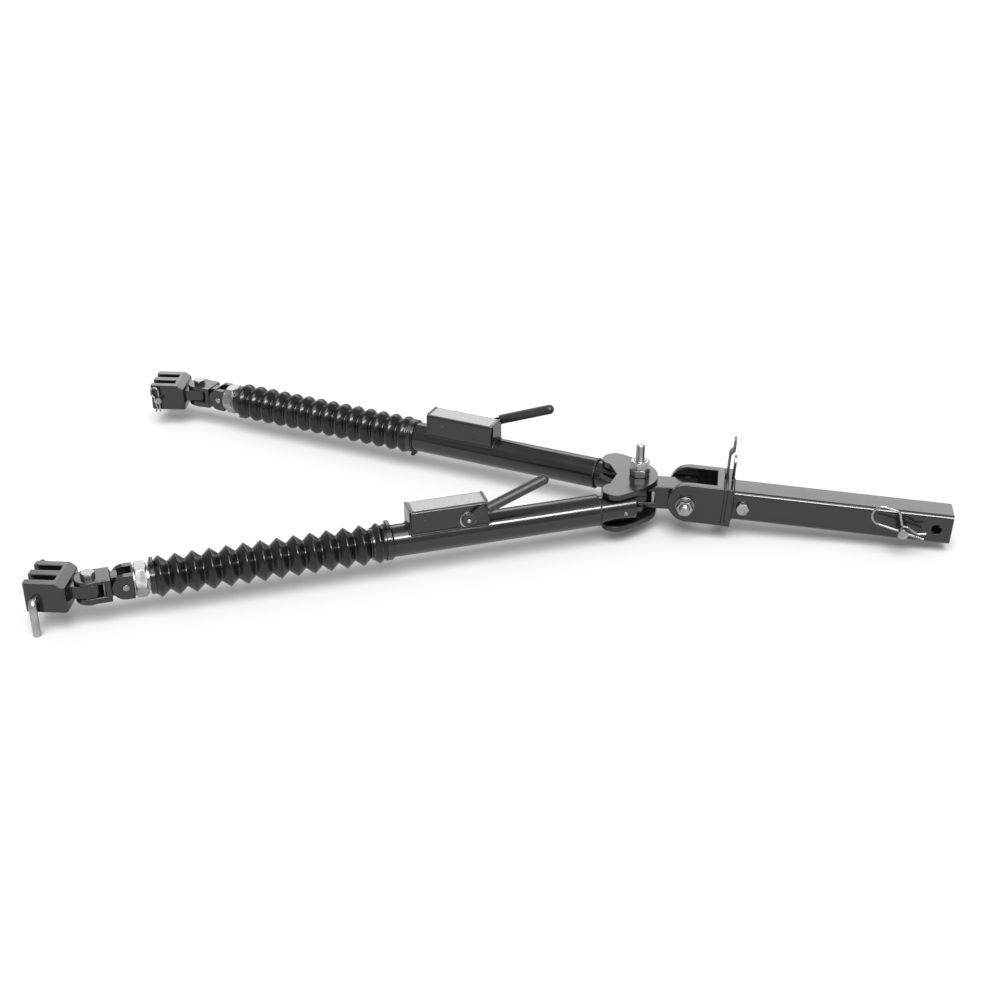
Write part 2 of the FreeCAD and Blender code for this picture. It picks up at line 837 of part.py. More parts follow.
def king_fasteners():
    outer = "(plate_inner + head_plate_thickness)"
    nuts_top = f"({outer} + king_nut_thickness * 2 + free_gap)"
    body = new_body("king_bolt")
    profile = [
        ("0", f"-{outer}"),
        ("king_radius", f"-{outer}"),
        ("king_radius", nuts_top),
        ("stud_radius", nuts_top),
        ("stud_radius", "stud_top"),
        ("0", "stud_top"),
    ]
    turned(body, profile)
    dress(body, "Chamfer", "Size", "stud_radius / 7", edge_top("stud_top", "stud_radius"))
    head = f"-({outer} + king_head_thickness / 2)"
    slab(body, "XY", head, "king_head_thickness", [hexagon("king_nut_flats")])
    keep(body, "king_bolt", place())
    seat = size("plate_inner") + size("head_plate_thickness")
    pitch = size("king_nut_thickness") + size("free_gap")
    turn = size("king_nut_turn")
    spots = [place(z=seat + i * pitch, angle=turn * i) for i in range(2)]
    nuts = [nut("king_nut_flats", "king_radius", "king_nut_thickness", spot) for spot in spots]
    keep(group(nuts), "king_nuts", place())
    height = "plate_inner - tongue_low - running_gap"
    foot = place(z=-size("plate_inner"))
    keep(ring("king_spacer_radius", "king_radius", height, foot), "king_spacer", place())


# ---------- arms ----------


def outer_tube(side, name):
    body = new_body(name)
    turned(body, rectangle("tube_start", "tube_end", "tube_bore", "tube_radius"), "H_Axis")
    hole = ("plunger_at", "0", "plunger_radius + running_gap")
    cut(body, "XY", "tube_radius", "tube_radius", circles=[hole])
    keep(body, name, arm_frame(side))


def knuckle(side, name):
    """Stub tube whose flat eye turns on the king bolt; the two eyes lie one above the other."""
    body = new_body(name)
    profile = [
        ("knuckle_start", "knuckle_bore"),
        ("spigot_end", "knuckle_bore"),
        ("spigot_end", "spigot_radius"),
        ("tube_start", "spigot_radius"),
        ("tube_start", "knuckle_radius"),
        ("knuckle_start", "knuckle_radius"),
    ]
    turned(body, profile, "H_Axis")
    level = "right_eye_centre" if side == RIGHT else "left_eye_centre"
    inward = "-" if side == RIGHT else ""
    king = f"{inward}arm_offset"
    far = f"{inward}(arm_offset + eye_radius)"
    wall = f"{inward}(knuckle_bore + knuckle_radius) / 2"
    web = [
        ("0", far),
        ("knuckle_start + eye_radius", f"{inward}(knuckle_radius + eye_radius / 2)"),
        ("eye_web_end", wall),
        ("knuckle_start", wall),
        ("0", f"{inward}(arm_offset - eye_radius)"),
    ]
    if side == LEFT:
        web.reverse()
    slab(body, "XY", level, "eye_thickness", [web])
    slab(body, "XY", level, "eye_thickness", circles=[("0", king, "eye_radius")])
    bore = ("0", king, "king_radius + running_gap")
    cut(body, "XY", level, "eye_thickness", circles=[bore])
    keep(body, name, arm_frame(side))


def latch_box(side, name):
    body = new_body(name)
    middle = "box_top / 2"
    half = "box_half_width"
    slab(body, "XY", middle, "box_top", [rectangle("box_start", "box_end", f"-{half}", half)])
    centre = "(box_start + box_end) / 2"
    cut(body, "YZ", centre, "box_end", circles=[("0", "0", "tube_radius")])
    inner = f"({half} - box_wall)"
    room = rectangle("box_start + box_wall", "box_end - box_wall", f"-{inner}", inner)
    cut(body, "XY", "(box_top - box_wall) / 2", "box_top - box_wall", [room])
    shaft = ("lever_at", "lever_height", "lever_shaft_radius + running_gap")
    wall = "(box_half_width - box_wall / 2)"
    sign = "" if side == RIGHT else "-"
    cut(body, "XZ", f"{sign}{wall}", "box_wall * 2", circles=[shaft])
    keep(body, name, arm_frame(side))


def boot(side, name):
    """Plain closed sleeve over the gap between the outer tube and the collar nut."""
    body = new_body(name)
    profile = [
        ("boot_start", "tube_radius"),
        ("tube_end + free_gap", "tube_radius"),
        ("tube_end + free_gap", "boot_radius - boot_wall"),
        ("boot_end - boot_wall", "boot_radius - boot_wall"),
        ("boot_end - boot_wall", "leg_radius + free_gap"),
        ("boot_end", "leg_radius + free_gap"),
        ("boot_end", "boot_radius"),
        ("cuff_end", "boot_radius"),
        ("cuff_end", "cuff_radius"),
        ("boot_start", "cuff_radius"),
    ]
    turned(body, profile, "H_Axis")
    keep(body, name, arm_frame(side))


def boot_clamp(side, name):
    """Worm-drive hose clamp: the screw housing is on top of the right arm and under the left one."""
    body = new_body(name)
    start = "clamp_at - clamp_width / 2"
    end = "clamp_at + clamp_width / 2"
    turned(body, rectangle(start, end, "cuff_radius", "cuff_radius + clamp_thickness"), "H_Axis")
    sign = "" if side == RIGHT else "-"
    level = f"{sign}(cuff_radius + clamp_thickness / 2 + clamp_screw_size / 2)"
    half = "clamp_screw_length / 2"
    slab(body, "XY", level, "clamp_screw_size", [rectangle(start, end, f"-{half}", half)])
    cut(body, "YZ", "clamp_at", "clamp_width", circles=[("0", "0", "cuff_radius")])
    keep(body, name, arm_frame(side))


# ---------- latch ----------


def flat_bar(start, end, width, near, thickness, side):
    """Bar in a plane across Y, from one (x, z) point to another."""
    dx = end[0] - start[0]
    dz = end[1] - start[1]
    length = f"{math.hypot(dx, dz):.3f}"
    tilt = -math.degrees(math.atan2(dz, dx))
    turn = FreeCAD.Rotation(Y_AXIS, tilt)
    low = size(near) if side == RIGHT else -size(near) - size(thickness)
    corner = FreeCAD.Vector(start[0], low, start[1]) + turn.multVec(FreeCAD.Vector(0, 0, -size(width) / 2))
    return block(length, thickness, width, FreeCAD.Placement(corner, turn))


def lever(side, name):
    hub = (size("lever_at"), size("lever_height"))
    root = (size("grip_root_at"), size("grip_root_height"))
    tip = (size("grip_tip_at"), size("grip_tip_height"))
    out = place(axis=X_AXIS, angle=-90 * side)
    near = side * size("lever_hub_inner")
    disc_at = FreeCAD.Placement(FreeCAD.Vector(hub[0], near, hub[1]), out.Rotation)
    disc = cylinder("lever_hub_radius", "lever_hub_outer - lever_hub_inner", disc_at)
    shaft_end = FreeCAD.Vector(hub[0], -side * size("lever_shaft_end"), hub[1])
    shaft_at = FreeCAD.Placement(shaft_end, out.Rotation)
    shaft = cylinder("lever_shaft_radius", "lever_shaft_end + lever_hub_inner + free_gap", shaft_at)
    bar = flat_bar(hub, root, "arm_bar_width", "lever_hub_inner", "lever_arm_thickness", side)
    rise = math.radians(size("crank_angle"))
    reach = size("crank_length")
    crank_end = (hub[0] + reach * math.cos(rise), hub[1] + reach * math.sin(rise))
    crank = flat_bar(hub, crank_end, "crank_width", "crank_inner", "crank_thickness", side)
    run = FreeCAD.Vector(tip[0] - root[0], 0, tip[1] - root[1])
    start = FreeCAD.Vector(root[0], side * size("grip_outward"), root[1])
    grip_at = FreeCAD.Placement(start, along(run))
    grip = cylinder("grip_radius", f"{run.Length:.3f}", grip_at)
    end = doc.addObject("Part::Sphere", "grip_end")
    bind(end, "Radius", "grip_radius")
    end.Placement = FreeCAD.Placement(start + run, FreeCAD.Rotation())
    keep(fuse([disc, shaft, bar, crank, grip, end]), name, arm_frame(side))


def lever_screw(side, name):
    """Pivot screw: its washer and round head hold the lever's hub on."""
    out = place(axis=X_AXIS, angle=-90 * side).Rotation
    face = size("lever_hub_outer")
    seat = FreeCAD.Vector(size("lever_at"), side * face, size("lever_height"))
    washer = cylinder("lever_washer_radius", "screw_washer_thickness", FreeCAD.Placement(seat, out))
    head = cylinder("screw_head_radius", "screw_head_end - lever_hub_outer", FreeCAD.Placement(seat, out))
    keep(fuse([washer, head]), name, arm_frame(side))


def latch_plunger(side, name):
    body = new_body(name)
    profile = [
        ("0", "plunger_low"),
        ("plunger_radius", "plunger_low"),
        ("plunger_radius", "collar_low"),
        ("collar_radius", "collar_low"),
        ("collar_radius", "collar_high"),
        ("plunger_tip_radius", "collar_high"),
        ("plunger_tip_radius", "plunger_top"),
        ("0", "plunger_top"),
    ]
    turned(body, profile)
    keep(body, name, arm_frame(side), place(x=size("plunger_at")))


def latch_spring(side, name):
    """Compression spring between the plunger's collar and the roof of the box."""
    wire = size("spring_wire")
    low = size("collar_high") + wire + size("running_gap")
    high = size("box_top") - size("box_wall") - wire - size("running_gap")
    radius = size("spring_radius")
    helix = Part.makeHelix((high - low) / size("spring_turns"), high - low, radius)
    profile = Part.Wire([Part.makeCircle(wire, FreeCAD.Vector(radius, 0, 0), Y_AXIS)])
    coil = Part.Wire(helix.Edges).makePipeShell([profile], True, True)
    keep(formed(name, coil), name, arm_frame(side), place(x=size("plunger_at"), z=low))


# ---------- legs ----------


def inner_leg(side, name):
    body = new_body(name)
    profile = [
        ("leg_start", "leg_bore"),
        ("leg_shoulder - leg_radius", "leg_bore"),
        ("leg_shoulder - leg_radius", "0"),
        ("leg_end", "0"),
        ("leg_end", "leg_stud_radius"),
        ("leg_shoulder", "leg_stud_radius"),
        ("leg_shoulder", "leg_radius"),
        ("leg_start", "leg_radius"),
    ]
    turned(body, profile, "H_Axis")
    hole = ("plunger_at", "0", "leg_hole_radius")
    cut(body, "XY", "leg_radius", "leg_radius", circles=[hole])
    keep(body, name, arm_frame(side))


def collar_nut(side, name):
    body = new_body(name)
    middle = "(leg_shoulder + rod_end_start) / 2"
    thick = "rod_end_start - leg_shoulder"
    slab(body, "YZ", middle, thick, [hexagon("collar_flats")])
    cut(body, "YZ", middle, thick, circles=[("0", "0", "leg_stud_radius")])
    keep(body, name, arm_frame(side))


def rod_end(side, name):
    """Square block with a rounded, slotted nose that takes the clevis tang and its cross pin."""
    body = new_body(name)
    half = "rod_end_half"
    slab(body, "XZ", "0", f"{half} * 2", [rectangle("rod_end_start", "cross_pin_at", f"-{half}", half)])
    slab(body, "XZ", "0", f"{half} * 2", circles=[("cross_pin_at", "0", half)])
    tall = "(rod_end_half + overcut)"
    clear = rectangle("rod_end_start - rod_end_half", "rod_end_start", f"-{tall}", tall)
    cut(body, "XZ", "0", f"{half} * 2", [clear])
    slot = rectangle("rod_slot_start", f"cross_pin_at + {tall}", f"-{tall}", tall)
    cut(body, "XZ", "0", "rod_slot_half * 2", [slot])
    depth = "(leg_end - rod_end_start) * 2"
    cut(body, "YZ", "rod_end_start", depth, circles=[("0", "0", "leg_stud_radius")])
    cut(body, "XZ", "0", f"{half} * 2", circles=[("cross_pin_at", "0", "cross_pin_radius")])
    keep(body, name, arm_frame(side))


def cross_pin(side, name):
    out = place(axis=X_AXIS, angle=90).Rotation
    start = FreeCAD.Vector(size("cross_pin_at"), size("rod_end_half") + size("cross_pin_proud"), 0)
    spot = FreeCAD.Placement(start, out)
    pin = cylinder("cross_pin_radius", "(rod_end_half + cross_pin_proud) * 2", spot)
    keep(pin, name, arm_frame(side), spot)


def clevis(side, name):
    """Fork with a vertical bolt for the lug; its tang tips on the cross pin."""
    body = new_body(name)
    half = "rod_end_half"
    middle = "(clevis_high - clevis_low) / 2"
    tall = "clevis_high + clevis_low"
    slab(body, "XY", middle, tall, [rectangle("clevis_start", "clevis_bolt_at", f"-{half}", half)])
    nose = ("clevis_bolt_at", "0", "clevis_nose")
    slab(body, "XY", middle, tall, circles=[nose])
    tang = "clevis_tang_radius"
    root = "clevis_start + overcut"
    neck = "clevis_neck_half"
    slab(body, "XZ", "0", "clevis_tang_half * 2", [rectangle("cross_pin_at", root, f"-{tang}", tang)])
    shoulder = rectangle(f"cross_pin_at + {tang}", root, f"-{neck}", neck)
    slab(body, "XZ", "0", "clevis_tang_half * 2", [shoulder])
    slab(body, "XZ", "0", "clevis_tang_half * 2", circles=[("cross_pin_at", "0", tang)])
    wide = "(clevis_nose + overcut)"
    slot = rectangle("clevis_slot_start", f"clevis_bolt_at + {wide}", "-clevis_slot_low", "clevis_slot_high")
    cut(body, "XZ", "0", f"{wide} * 2", [slot])
    bolt = ("clevis_bolt_at", "0", "clevis_bolt_radius")
    cut(body, "XY", middle, tall, circles=[bolt])
    pin = ("cross_pin_at", "0", "cross_pin_radius + running_gap")
    cut(body, "XZ", "0", "clevis_tang_half * 2", circles=[pin])
    keep(body, name, arm_frame(side))


def clevis_fasteners(side, bolt_name, nut_name):
    body = new_body(bolt_name)
    bottom = "-(clevis_low + clevis_head_thickness + free_gap)"
    turned(body, rectangle("0", "clevis_bolt_radius", bottom, "clevis_high"))
    head = "clevis_high + clevis_head_thickness / 2"
    slab(body, "XY", head, "clevis_head_thickness", [hexagon("clevis_head_flats")])
    spot = place(x=size("clevis_bolt_at"))
    keep(body, bolt_name, arm_frame(side), spot)
    seat = place(z=-size("clevis_low") - size("clevis_head_thickness"))
    part = nut("clevis_head_flats", "clevis_bolt_radius", "clevis_head_thickness", seat)
    keep(part, nut_name, arm_frame(side), spot)


# ---------- lugs ----------


def lug(side, name):
    """Block with two open slots for the base plate's tabs; a flat tang turns in the clevis."""
    body = new_body(name)
    out = "" if side == RIGHT else "-"
    profile = [
        ("lug_back", "-lug_half_height"),
        ("lug_front", "-lug_half_height"),
        ("lug_front", "lug_half_height"),
        ("lug_back + lug_bevel_length", "lug_half_height"),
        ("lug_back", "lug_half_height - lug_bevel_height"),
    ]
    slab(body, "XZ", f"{out}(lug_outer - lug_inner) / 2", "lug_outer + lug_inner", [profile])
    level = "(lug_tang_high - lug_tang_low) / 2"
    thick = "lug_tang_high + lug_tang_low"
    half = "lug_tang_radius"
    slab(body, "XY", level, thick, [rectangle("0", "lug_back + overcut", f"-{half}", half)])
    slab(body, "XY", level, thick, circles=[("0", "0", half)])
    for centre in ("outer_slot_at", "inner_slot_at"):
        slot = rectangle("slot_start", "lug_front + overcut", "-lug_half_height", "lug_half_height")
        cut(body, "XZ", f"{out}({centre})", "slot_width", [slot])
    bore = ("0", "0", "clevis_bolt_radius + running_gap")
    cut(body, "XY", level, thick, circles=[bore])
    pin = ("lug_pin_at", "lug_pin_height", "lug_pin_radius + running_gap")
    cut(body, "XZ", "0", "(lug_outer + overcut) * 2", circles=[pin])
    keep(body, name, lug_frame(side))


def lug_pin(side, name, clip_name):
    """Round pin with a handle bent down on the outside; the hairpin crosses it on the inside."""
    radius = size("lug_pin_radius")
    inner = -side * size("lug_pin_inner")
    outer = side * size("lug_pin_outer")
    corners = [
        (FreeCAD.Vector(0, inner, 0), 0),
        (FreeCAD.Vector(0, outer, 0), size("lug_pin_bend")),
        (FreeCAD.Vector(0, outer, -size("lug_pin_drop") - size("lug_pin_height")), 0),
    ]
    at = place(size("lug_pin_at"), 0, size("lug_pin_height"))
    clip_at = FreeCAD.Vector(0, -side * size("lug_clip_inward"), 0)
    rod = crossed(bent_rod(corners, radius), "lug_wire", clip_at, Z_AXIS, radius * 2)
    keep(formed(name, rod), name, lug_frame(side), at)
    turn = FreeCAD.Rotation(Y_AXIS, 90)
    local = at.multiply(FreeCAD.Placement(clip_at, turn))
    hairpin(clip_name, radius, "lug", lug_frame(side), local)


# ---------- assembly ----------

shank_tube()
shank_front_plate()
swivel_bushing()
retaining_bolt()
hitch_pin()
swivel_plate()
swivel_shaft()
swivel_latch()
yoke()
yoke_fasteners()
tongue()
head_plate("head_top_plate", "plate_inner + head_plate_thickness / 2")
head_plate("head_bottom_plate", "-(plate_inner + head_plate_thickness / 2)")
king_fasteners()
for side, hand in ((LEFT, "left"), (RIGHT, "right")):
    outer_tube(side, f"{hand}_outer_tube")
    knuckle(side, f"{hand}_knuckle")
    latch_box(side, f"{hand}_latch_box")
    boot(side, f"{hand}_boot")
    boot_clamp(side, f"{hand}_boot_clamp")
    lever(side, f"{hand}_lever")
    lever_screw(side, f"{hand}_lever_screw")
    latch_plunger(side, f"{hand}_latch_plunger")
    latch_spring(side, f"{hand}_latch_spring")
    inner_leg(side, f"{hand}_inner_leg")
    collar_nut(side, f"{hand}_collar_nut")
    rod_end(side, f"{hand}_rod_end")
    cross_pin(side, f"{hand}_cross_pin")
    clevis(side, f"{hand}_clevis")
    clevis_fasteners(side, f"{hand}_clevis_bolt", f"{hand}_clevis_nut")
    lug(side, f"{hand}_lug")
    lug_pin(side, f"{hand}_lug_pin", f"{hand}_lug_clip")
doc.recompute()

for item in doc.Objects:
    if "Invalid" in item.State or "Error" in item.State:
        raise RuntimeError(f"{item.Name} failed: {item.State}")
os.makedirs("parts", exist_ok=True)
for label, part in parts.items():
    if part.Shape.isNull() or not part.Shape.isValid():
        raise RuntimeError(f"{label} has no valid shape")
    part.Shape.exportStep(f"parts/{label}.step")
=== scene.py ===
import json
import math

import bmesh
import bpy
from mathutils import Matrix, Vector, noise


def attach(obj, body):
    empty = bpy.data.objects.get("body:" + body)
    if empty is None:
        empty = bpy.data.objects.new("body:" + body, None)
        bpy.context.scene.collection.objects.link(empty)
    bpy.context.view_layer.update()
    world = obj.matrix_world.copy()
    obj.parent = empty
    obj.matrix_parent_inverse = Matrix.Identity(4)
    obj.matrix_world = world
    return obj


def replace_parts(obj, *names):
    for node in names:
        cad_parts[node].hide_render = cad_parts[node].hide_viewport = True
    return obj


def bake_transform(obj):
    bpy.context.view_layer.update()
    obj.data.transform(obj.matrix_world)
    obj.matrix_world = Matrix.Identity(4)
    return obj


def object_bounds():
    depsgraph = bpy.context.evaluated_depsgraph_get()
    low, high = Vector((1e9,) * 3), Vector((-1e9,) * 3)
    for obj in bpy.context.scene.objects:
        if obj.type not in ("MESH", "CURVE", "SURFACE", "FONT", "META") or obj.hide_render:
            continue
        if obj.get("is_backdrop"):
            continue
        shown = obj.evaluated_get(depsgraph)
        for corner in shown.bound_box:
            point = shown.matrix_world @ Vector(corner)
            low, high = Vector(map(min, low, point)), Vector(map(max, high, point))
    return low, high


# Self-aligning tow bar. Local sizes are in millimetres in the frames of the shank, the arms and the lugs,
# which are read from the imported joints; everything is turned into metres in the row frame.

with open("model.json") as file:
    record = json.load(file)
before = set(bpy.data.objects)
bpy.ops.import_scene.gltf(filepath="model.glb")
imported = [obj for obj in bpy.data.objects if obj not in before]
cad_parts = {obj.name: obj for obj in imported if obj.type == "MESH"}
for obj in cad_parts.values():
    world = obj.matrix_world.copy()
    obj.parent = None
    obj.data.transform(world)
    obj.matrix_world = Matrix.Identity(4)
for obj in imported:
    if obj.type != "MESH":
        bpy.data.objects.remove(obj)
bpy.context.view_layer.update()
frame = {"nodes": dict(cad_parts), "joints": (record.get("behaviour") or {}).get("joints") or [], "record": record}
MM = 0.001
JOINTS = {joint["name"]: joint for joint in frame["joints"]}
HANDS = ("left", "right")
UP = Vector((0, 0, 1))
AHEAD = Vector((1, 0, 0))


# ---------- frames ----------


def point_of(joint):
    return Vector(JOINTS[joint]["pos_m"])


def axis_of(joint):
    return Vector(JOINTS[joint]["axis"]).normalized()


def frame_matrix(origin, x_axis, y_axis):
    """Local millimetres to row metres."""
    z_axis = x_axis.cross(y_axis)
    turn = Matrix((x_axis, y_axis, z_axis)).transposed().to_4x4()
    return Matrix.Translation(origin) @ turn @ Matrix.Scale(MM, 4)


HUB = point_of("head_yaw")
HEAD_FRAME = frame_matrix(HUB, AHEAD, Vector((0, 1, 0)))
SHANK_FRAME = frame_matrix(point_of("tongue_pitch"), axis_of("swivel_roll"), axis_of("tongue_pitch"))


def arm_frame(hand):
    """X along the arm from the foot of the perpendicular from the king bolt axis."""
    x_axis = axis_of(f"{hand}_leg_slide")
    pin = point_of(f"{hand}_clevis_pitch")
    origin = pin - x_axis * (pin - HUB).dot(x_axis)
    return frame_matrix(origin, x_axis, UP.cross(x_axis))


def lug_frame(hand):
    return frame_matrix(point_of(f"{hand}_lug_yaw"), -AHEAD, axis_of(f"{hand}_lug_pin_turn"))


def outward(hand):
    """Sign of the local Y that points away from the other arm."""
    return 1 if hand == "right" else -1


# ---------- materials ----------

# Noises, each as scale, detail, roughness and how much finer it is along X, Y and Z
EVEN = (1, 1, 1)
PAINT_DUST = (240, 6, 0.7, EVEN)
PAINT_CLOUD = (18, 3, 0.5, EVEN)
ORANGE_PEEL = (900, 2, 0.5, EVEN)
WELD_LUMPS = (420, 4, 0.5, EVEN)
PLATE_CLOUD = (55, 5, 0.5, EVEN)
TURNING_MARKS = (12, 2, 0.5, (30, 30, 420))
BRUSHING = (3, 3, 0.5, (900, 12, 12))
RUBBER_BLOOM = (30, 5, 0.6, EVEN)
RUBBER_GRAIN = (1400, 3, 0.5, EVEN)
METAL_CLOUD = (90, 5, 0.5, EVEN)
# A noise is spread over these values, since it seldom leaves them
NOISE_LOW = 0.3
NOISE_HIGH = 0.7


def noise_of(tree, pattern):
    """Noise in the object's own space."""
    scale, detail, roughness, finer = pattern
    coordinates = tree.nodes.new("ShaderNodeTexCoord")
    mapping = tree.nodes.new("ShaderNodeMapping")
    mapping.inputs["Scale"].default_value = finer
    tree.links.new(coordinates.outputs["Object"], mapping.inputs["Vector"])
    texture = tree.nodes.new("ShaderNodeTexNoise")
    for socket, value in {"Scale": scale, "Detail": detail, "Roughness": roughness}.items():
        texture.inputs[socket].default_value = value
    tree.links.new(mapping.outputs["Vector"], texture.inputs["Vector"])
    return texture.outputs["Fac"]


def drift_colour(tree, shader, pattern, dark, light):
    ramp = tree.nodes.new("ShaderNodeValToRGB")
    low, high = ramp.color_ramp.elements
    low.position = NOISE_LOW
    low.color = (*dark, 1)
    high.position = NOISE_HIGH
    high.color = (*light, 1)
    tree.links.new(noise_of(tree, pattern), ramp.inputs["Fac"])
    tree.links.new(ramp.outputs["Color"], shader.inputs["Base Color"])


def drift_gloss(tree, shader, pattern, low, high):
    ranged = tree.nodes.new("ShaderNodeMapRange")
    ends = {"From Min": NOISE_LOW, "From Max": NOISE_HIGH, "To Min": low, "To Max": high}
    for socket, value in ends.items():
        ranged.inputs[socket].default_value = value
    tree.links.new(noise_of(tree, pattern), ranged.inputs["Value"])
    tree.links.new(ranged.outputs["Result"], shader.inputs["Roughness"])


def relief(tree, shader, pattern, strength, depth):
    bump = tree.nodes.new("ShaderNodeBump")
    bump.inputs["Strength"].default_value = strength
    bump.inputs["Distance"].default_value = depth
    tree.links.new(noise_of(tree, pattern), bump.inputs["Height"])
    tree.links.new(bump.outputs["Normal"], shader.inputs["Normal"])


def plain(name, colour, roughness=0.5, metallic=0.0, specular=0.5):
    material = bpy.data.materials.new(name)
    material.use_nodes = True
    shader = material.node_tree.nodes["Principled BSDF"]
    shader.inputs["Base Color"].default_value = (*colour, 1)
    shader.inputs["Roughness"].default_value = roughness
    shader.inputs["Metallic"].default_value = metallic
    shader.inputs["Specular IOR Level"].default_value = specular
    return material, material.node_tree, shader


def surface(name, colours, gloss, bumps, metallic=0.0, specular=0.5):
    """Material with a noise for each of its colour, roughness and relief.

    Each of the three is a noise and two values: dark and light, least and most rough,
    strength and depth in metres. A colour that doesn't drift has no noise.
    """
    pattern, dark, light = colours
    material, tree, shader = plain(name, light, metallic=metallic, specular=specular)
    if pattern:
        drift_colour(tree, shader, pattern, dark, light)
    drift_gloss(tree, shader, *gloss)
    relief(tree, shader, *bumps)
    return material


def cloudy(name, dark, light, smooth, rough, metallic=1.0):
    """Surface whose colour, roughness and relief drift together."""
    colours = (METAL_CLOUD, dark, light)
    return surface(name, colours, (METAL_CLOUD, smooth, rough), (METAL_CLOUD, 0.1, 0.0002), metallic)


# Semi-gloss powder coat with a faint orange peel, and the same coat over a rippled weld bead
COAT = (0.008, 0.008, 0.0075)
PAINT = surface(
    "black_paint", (PAINT_DUST, (0.006, 0.006, 0.0057), (0.011, 0.011, 0.0104)),
    gloss=(PAINT_CLOUD, 0.13, 0.21), bumps=(ORANGE_PEEL, 0.03, 0.0002), specular=0.58,
)
WELD = surface(
    "weld_paint", (None, COAT, COAT),
    gloss=(WELD_LUMPS, 0.24, 0.46), bumps=(WELD_LUMPS, 0.5, 0.0006), specular=0.4,
)
# Bright zinc plate, cloudy, with fine turning marks
ZINC = surface(
    "zinc", (PLATE_CLOUD, (0.22, 0.22, 0.216), (0.38, 0.38, 0.373)),
    gloss=(PLATE_CLOUD, 0.22, 0.36), bumps=(TURNING_MARKS, 0.1, 0.0002), metallic=1.0,
)
# Brushed silver plate with nothing printed on it
LABEL = surface(
    "label_plate", (BRUSHING, (0.2, 0.2, 0.2), (0.36, 0.36, 0.36)),
    gloss=(BRUSHING, 0.28, 0.45), bumps=(BRUSHING, 0.15, 0.0001), metallic=0.9,
)
# Moulded rubber, shiny, with a fine grain and a greyish bloom
RUBBER = surface(
    "boot_rubber", (RUBBER_BLOOM, (0.004, 0.004, 0.004), (0.009, 0.009, 0.009)),
    gloss=(RUBBER_BLOOM, 0.17, 0.27), bumps=(RUBBER_GRAIN, 0.04, 0.0002), specular=0.38,
)
BRONZE = cloudy("bronze_bush", (0.42, 0.27, 0.11), (0.62, 0.43, 0.2), 0.3, 0.5)
SATIN = cloudy("satin_paint", (0.014, 0.014, 0.0135), (0.024, 0.024, 0.023), 0.36, 0.5, metallic=0.0)
# Dark steel for the rivets. On the zinc-plated swivel latch the same dark colour is painted shade, standing in for
# how dark its faces read at a grazing angle.
DARK_STEEL_AND_SHADED_ZINC = cloudy("dark_steel_and_shaded_zinc", (0.06, 0.06, 0.06), (0.13, 0.13, 0.13), 0.25, 0.4)
SPRING = cloudy("spring_wire", (0.35, 0.35, 0.36), (0.55, 0.55, 0.56), 0.25, 0.4)
FINISH = {
    "black_paint": PAINT,
    "zinc": ZINC,
    "rubber": RUBBER,
    "bronze": BRONZE,
    "spring_steel": SPRING,
}
SLOT_OF = {part["node"]: part["material_slot"] for part in frame["record"]["subparts"]}
BODY_OF = {name: body for body, names in frame["record"]["behaviour"]["bodies"].items() for name in names}


# ---------- mesh helpers ----------

# Vertices closer than this in millimetres are one
MERGE = 0.001
# CAD facets that turn by less than this lie in one plane
FLAT_ANGLE = math.radians(0.6)
# Edges that turn by more than this many degrees are rounded
EDGE_ANGLE = 28
HEX_EDGE_ANGLE = 24
TURNED_EDGE_ANGLE = 35
# Sides of a turned piece, by what it is
BOLT_SIDES = 48
BUSH_SIDES = 40
WASHER_SIDES = 56
BOOT_SIDES = 96
BAND_SIDES = 80


def add_object(name, mesh, body, material):
    piece = bpy.data.objects.new(name, mesh)
    bpy.context.scene.collection.objects.link(piece)
    mesh.materials.clear()
    mesh.materials.append(material)
    for face in mesh.polygons:
        face.use_smooth = True
    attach(piece, body)
    return piece


def mesh_from(name, shape):
    mesh = bpy.data.meshes.new(name)
    shape.to_mesh(mesh)
    shape.free()
    return mesh


def finished(name, shape, matrix, body, material):
    """Turn a local bmesh into a piece on a body."""
    bmesh.ops.remove_doubles(shape, verts=shape.verts, dist=MERGE)
    bmesh.ops.recalc_face_normals(shape, faces=shape.faces)
    shape.transform(matrix)
    return add_object(name, mesh_from(name, shape), body, material)


def painted(name, shape, matrix, body):
    return finished(name, shape, matrix, body, PAINT)


def soft_edges(piece, width, segments=3, angle=EDGE_ANGLE):
    bevel = piece.modifiers.new("edges", "BEVEL")
    bevel.width = width * MM
    bevel.segments = segments
    bevel.limit_method = "ANGLE"
    bevel.angle_limit = math.radians(angle)
    bevel.use_clamp_overlap = False
    bevel.loop_slide = False
    piece.modifiers.new("normals", "WEIGHTED_NORMAL").keep_sharp = False
    return piece


def soften(name, width, material=None):
    """A copy of a CAD node with its edges rounded as paint and tooling leave them."""
    shape = bmesh.new()
    shape.from_mesh(frame["nodes"][name].data)
    bmesh.ops.remove_doubles(shape, verts=shape.verts, dist=MERGE * MM)
    bmesh.ops.dissolve_limit(shape, angle_limit=FLAT_ANGLE, verts=shape.verts, edges=shape.edges)
    slot_name = SLOT_OF[name]
    copy = f"{name}_finished"
    piece = add_object(copy, mesh_from(copy, shape), BODY_OF[name], material or FINISH[slot_name])
    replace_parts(piece, name)
    soft_edges(piece, width)


def rings_to_faces(shape, rings, closed=False):
    pairs = list(zip(rings, rings[1:]))
    if closed:
        pairs.append((rings[-1], rings[0]))
    for first, second in pairs:
        count = len(first)
        for i in range(count):
            j = (i + 1) % count
            shape.faces.new((first[i], first[j], second[j], second[i]))
    if not closed:
        shape.faces.new(rings[0])
        shape.faces.new(rings[-1])


def turn_points(count):
    """Cosine and sine of equal steps round a full turn."""
    angles = [2 * math.pi * i / count for i in range(count)]
    return [(math.cos(angle), math.sin(angle)) for angle in angles]


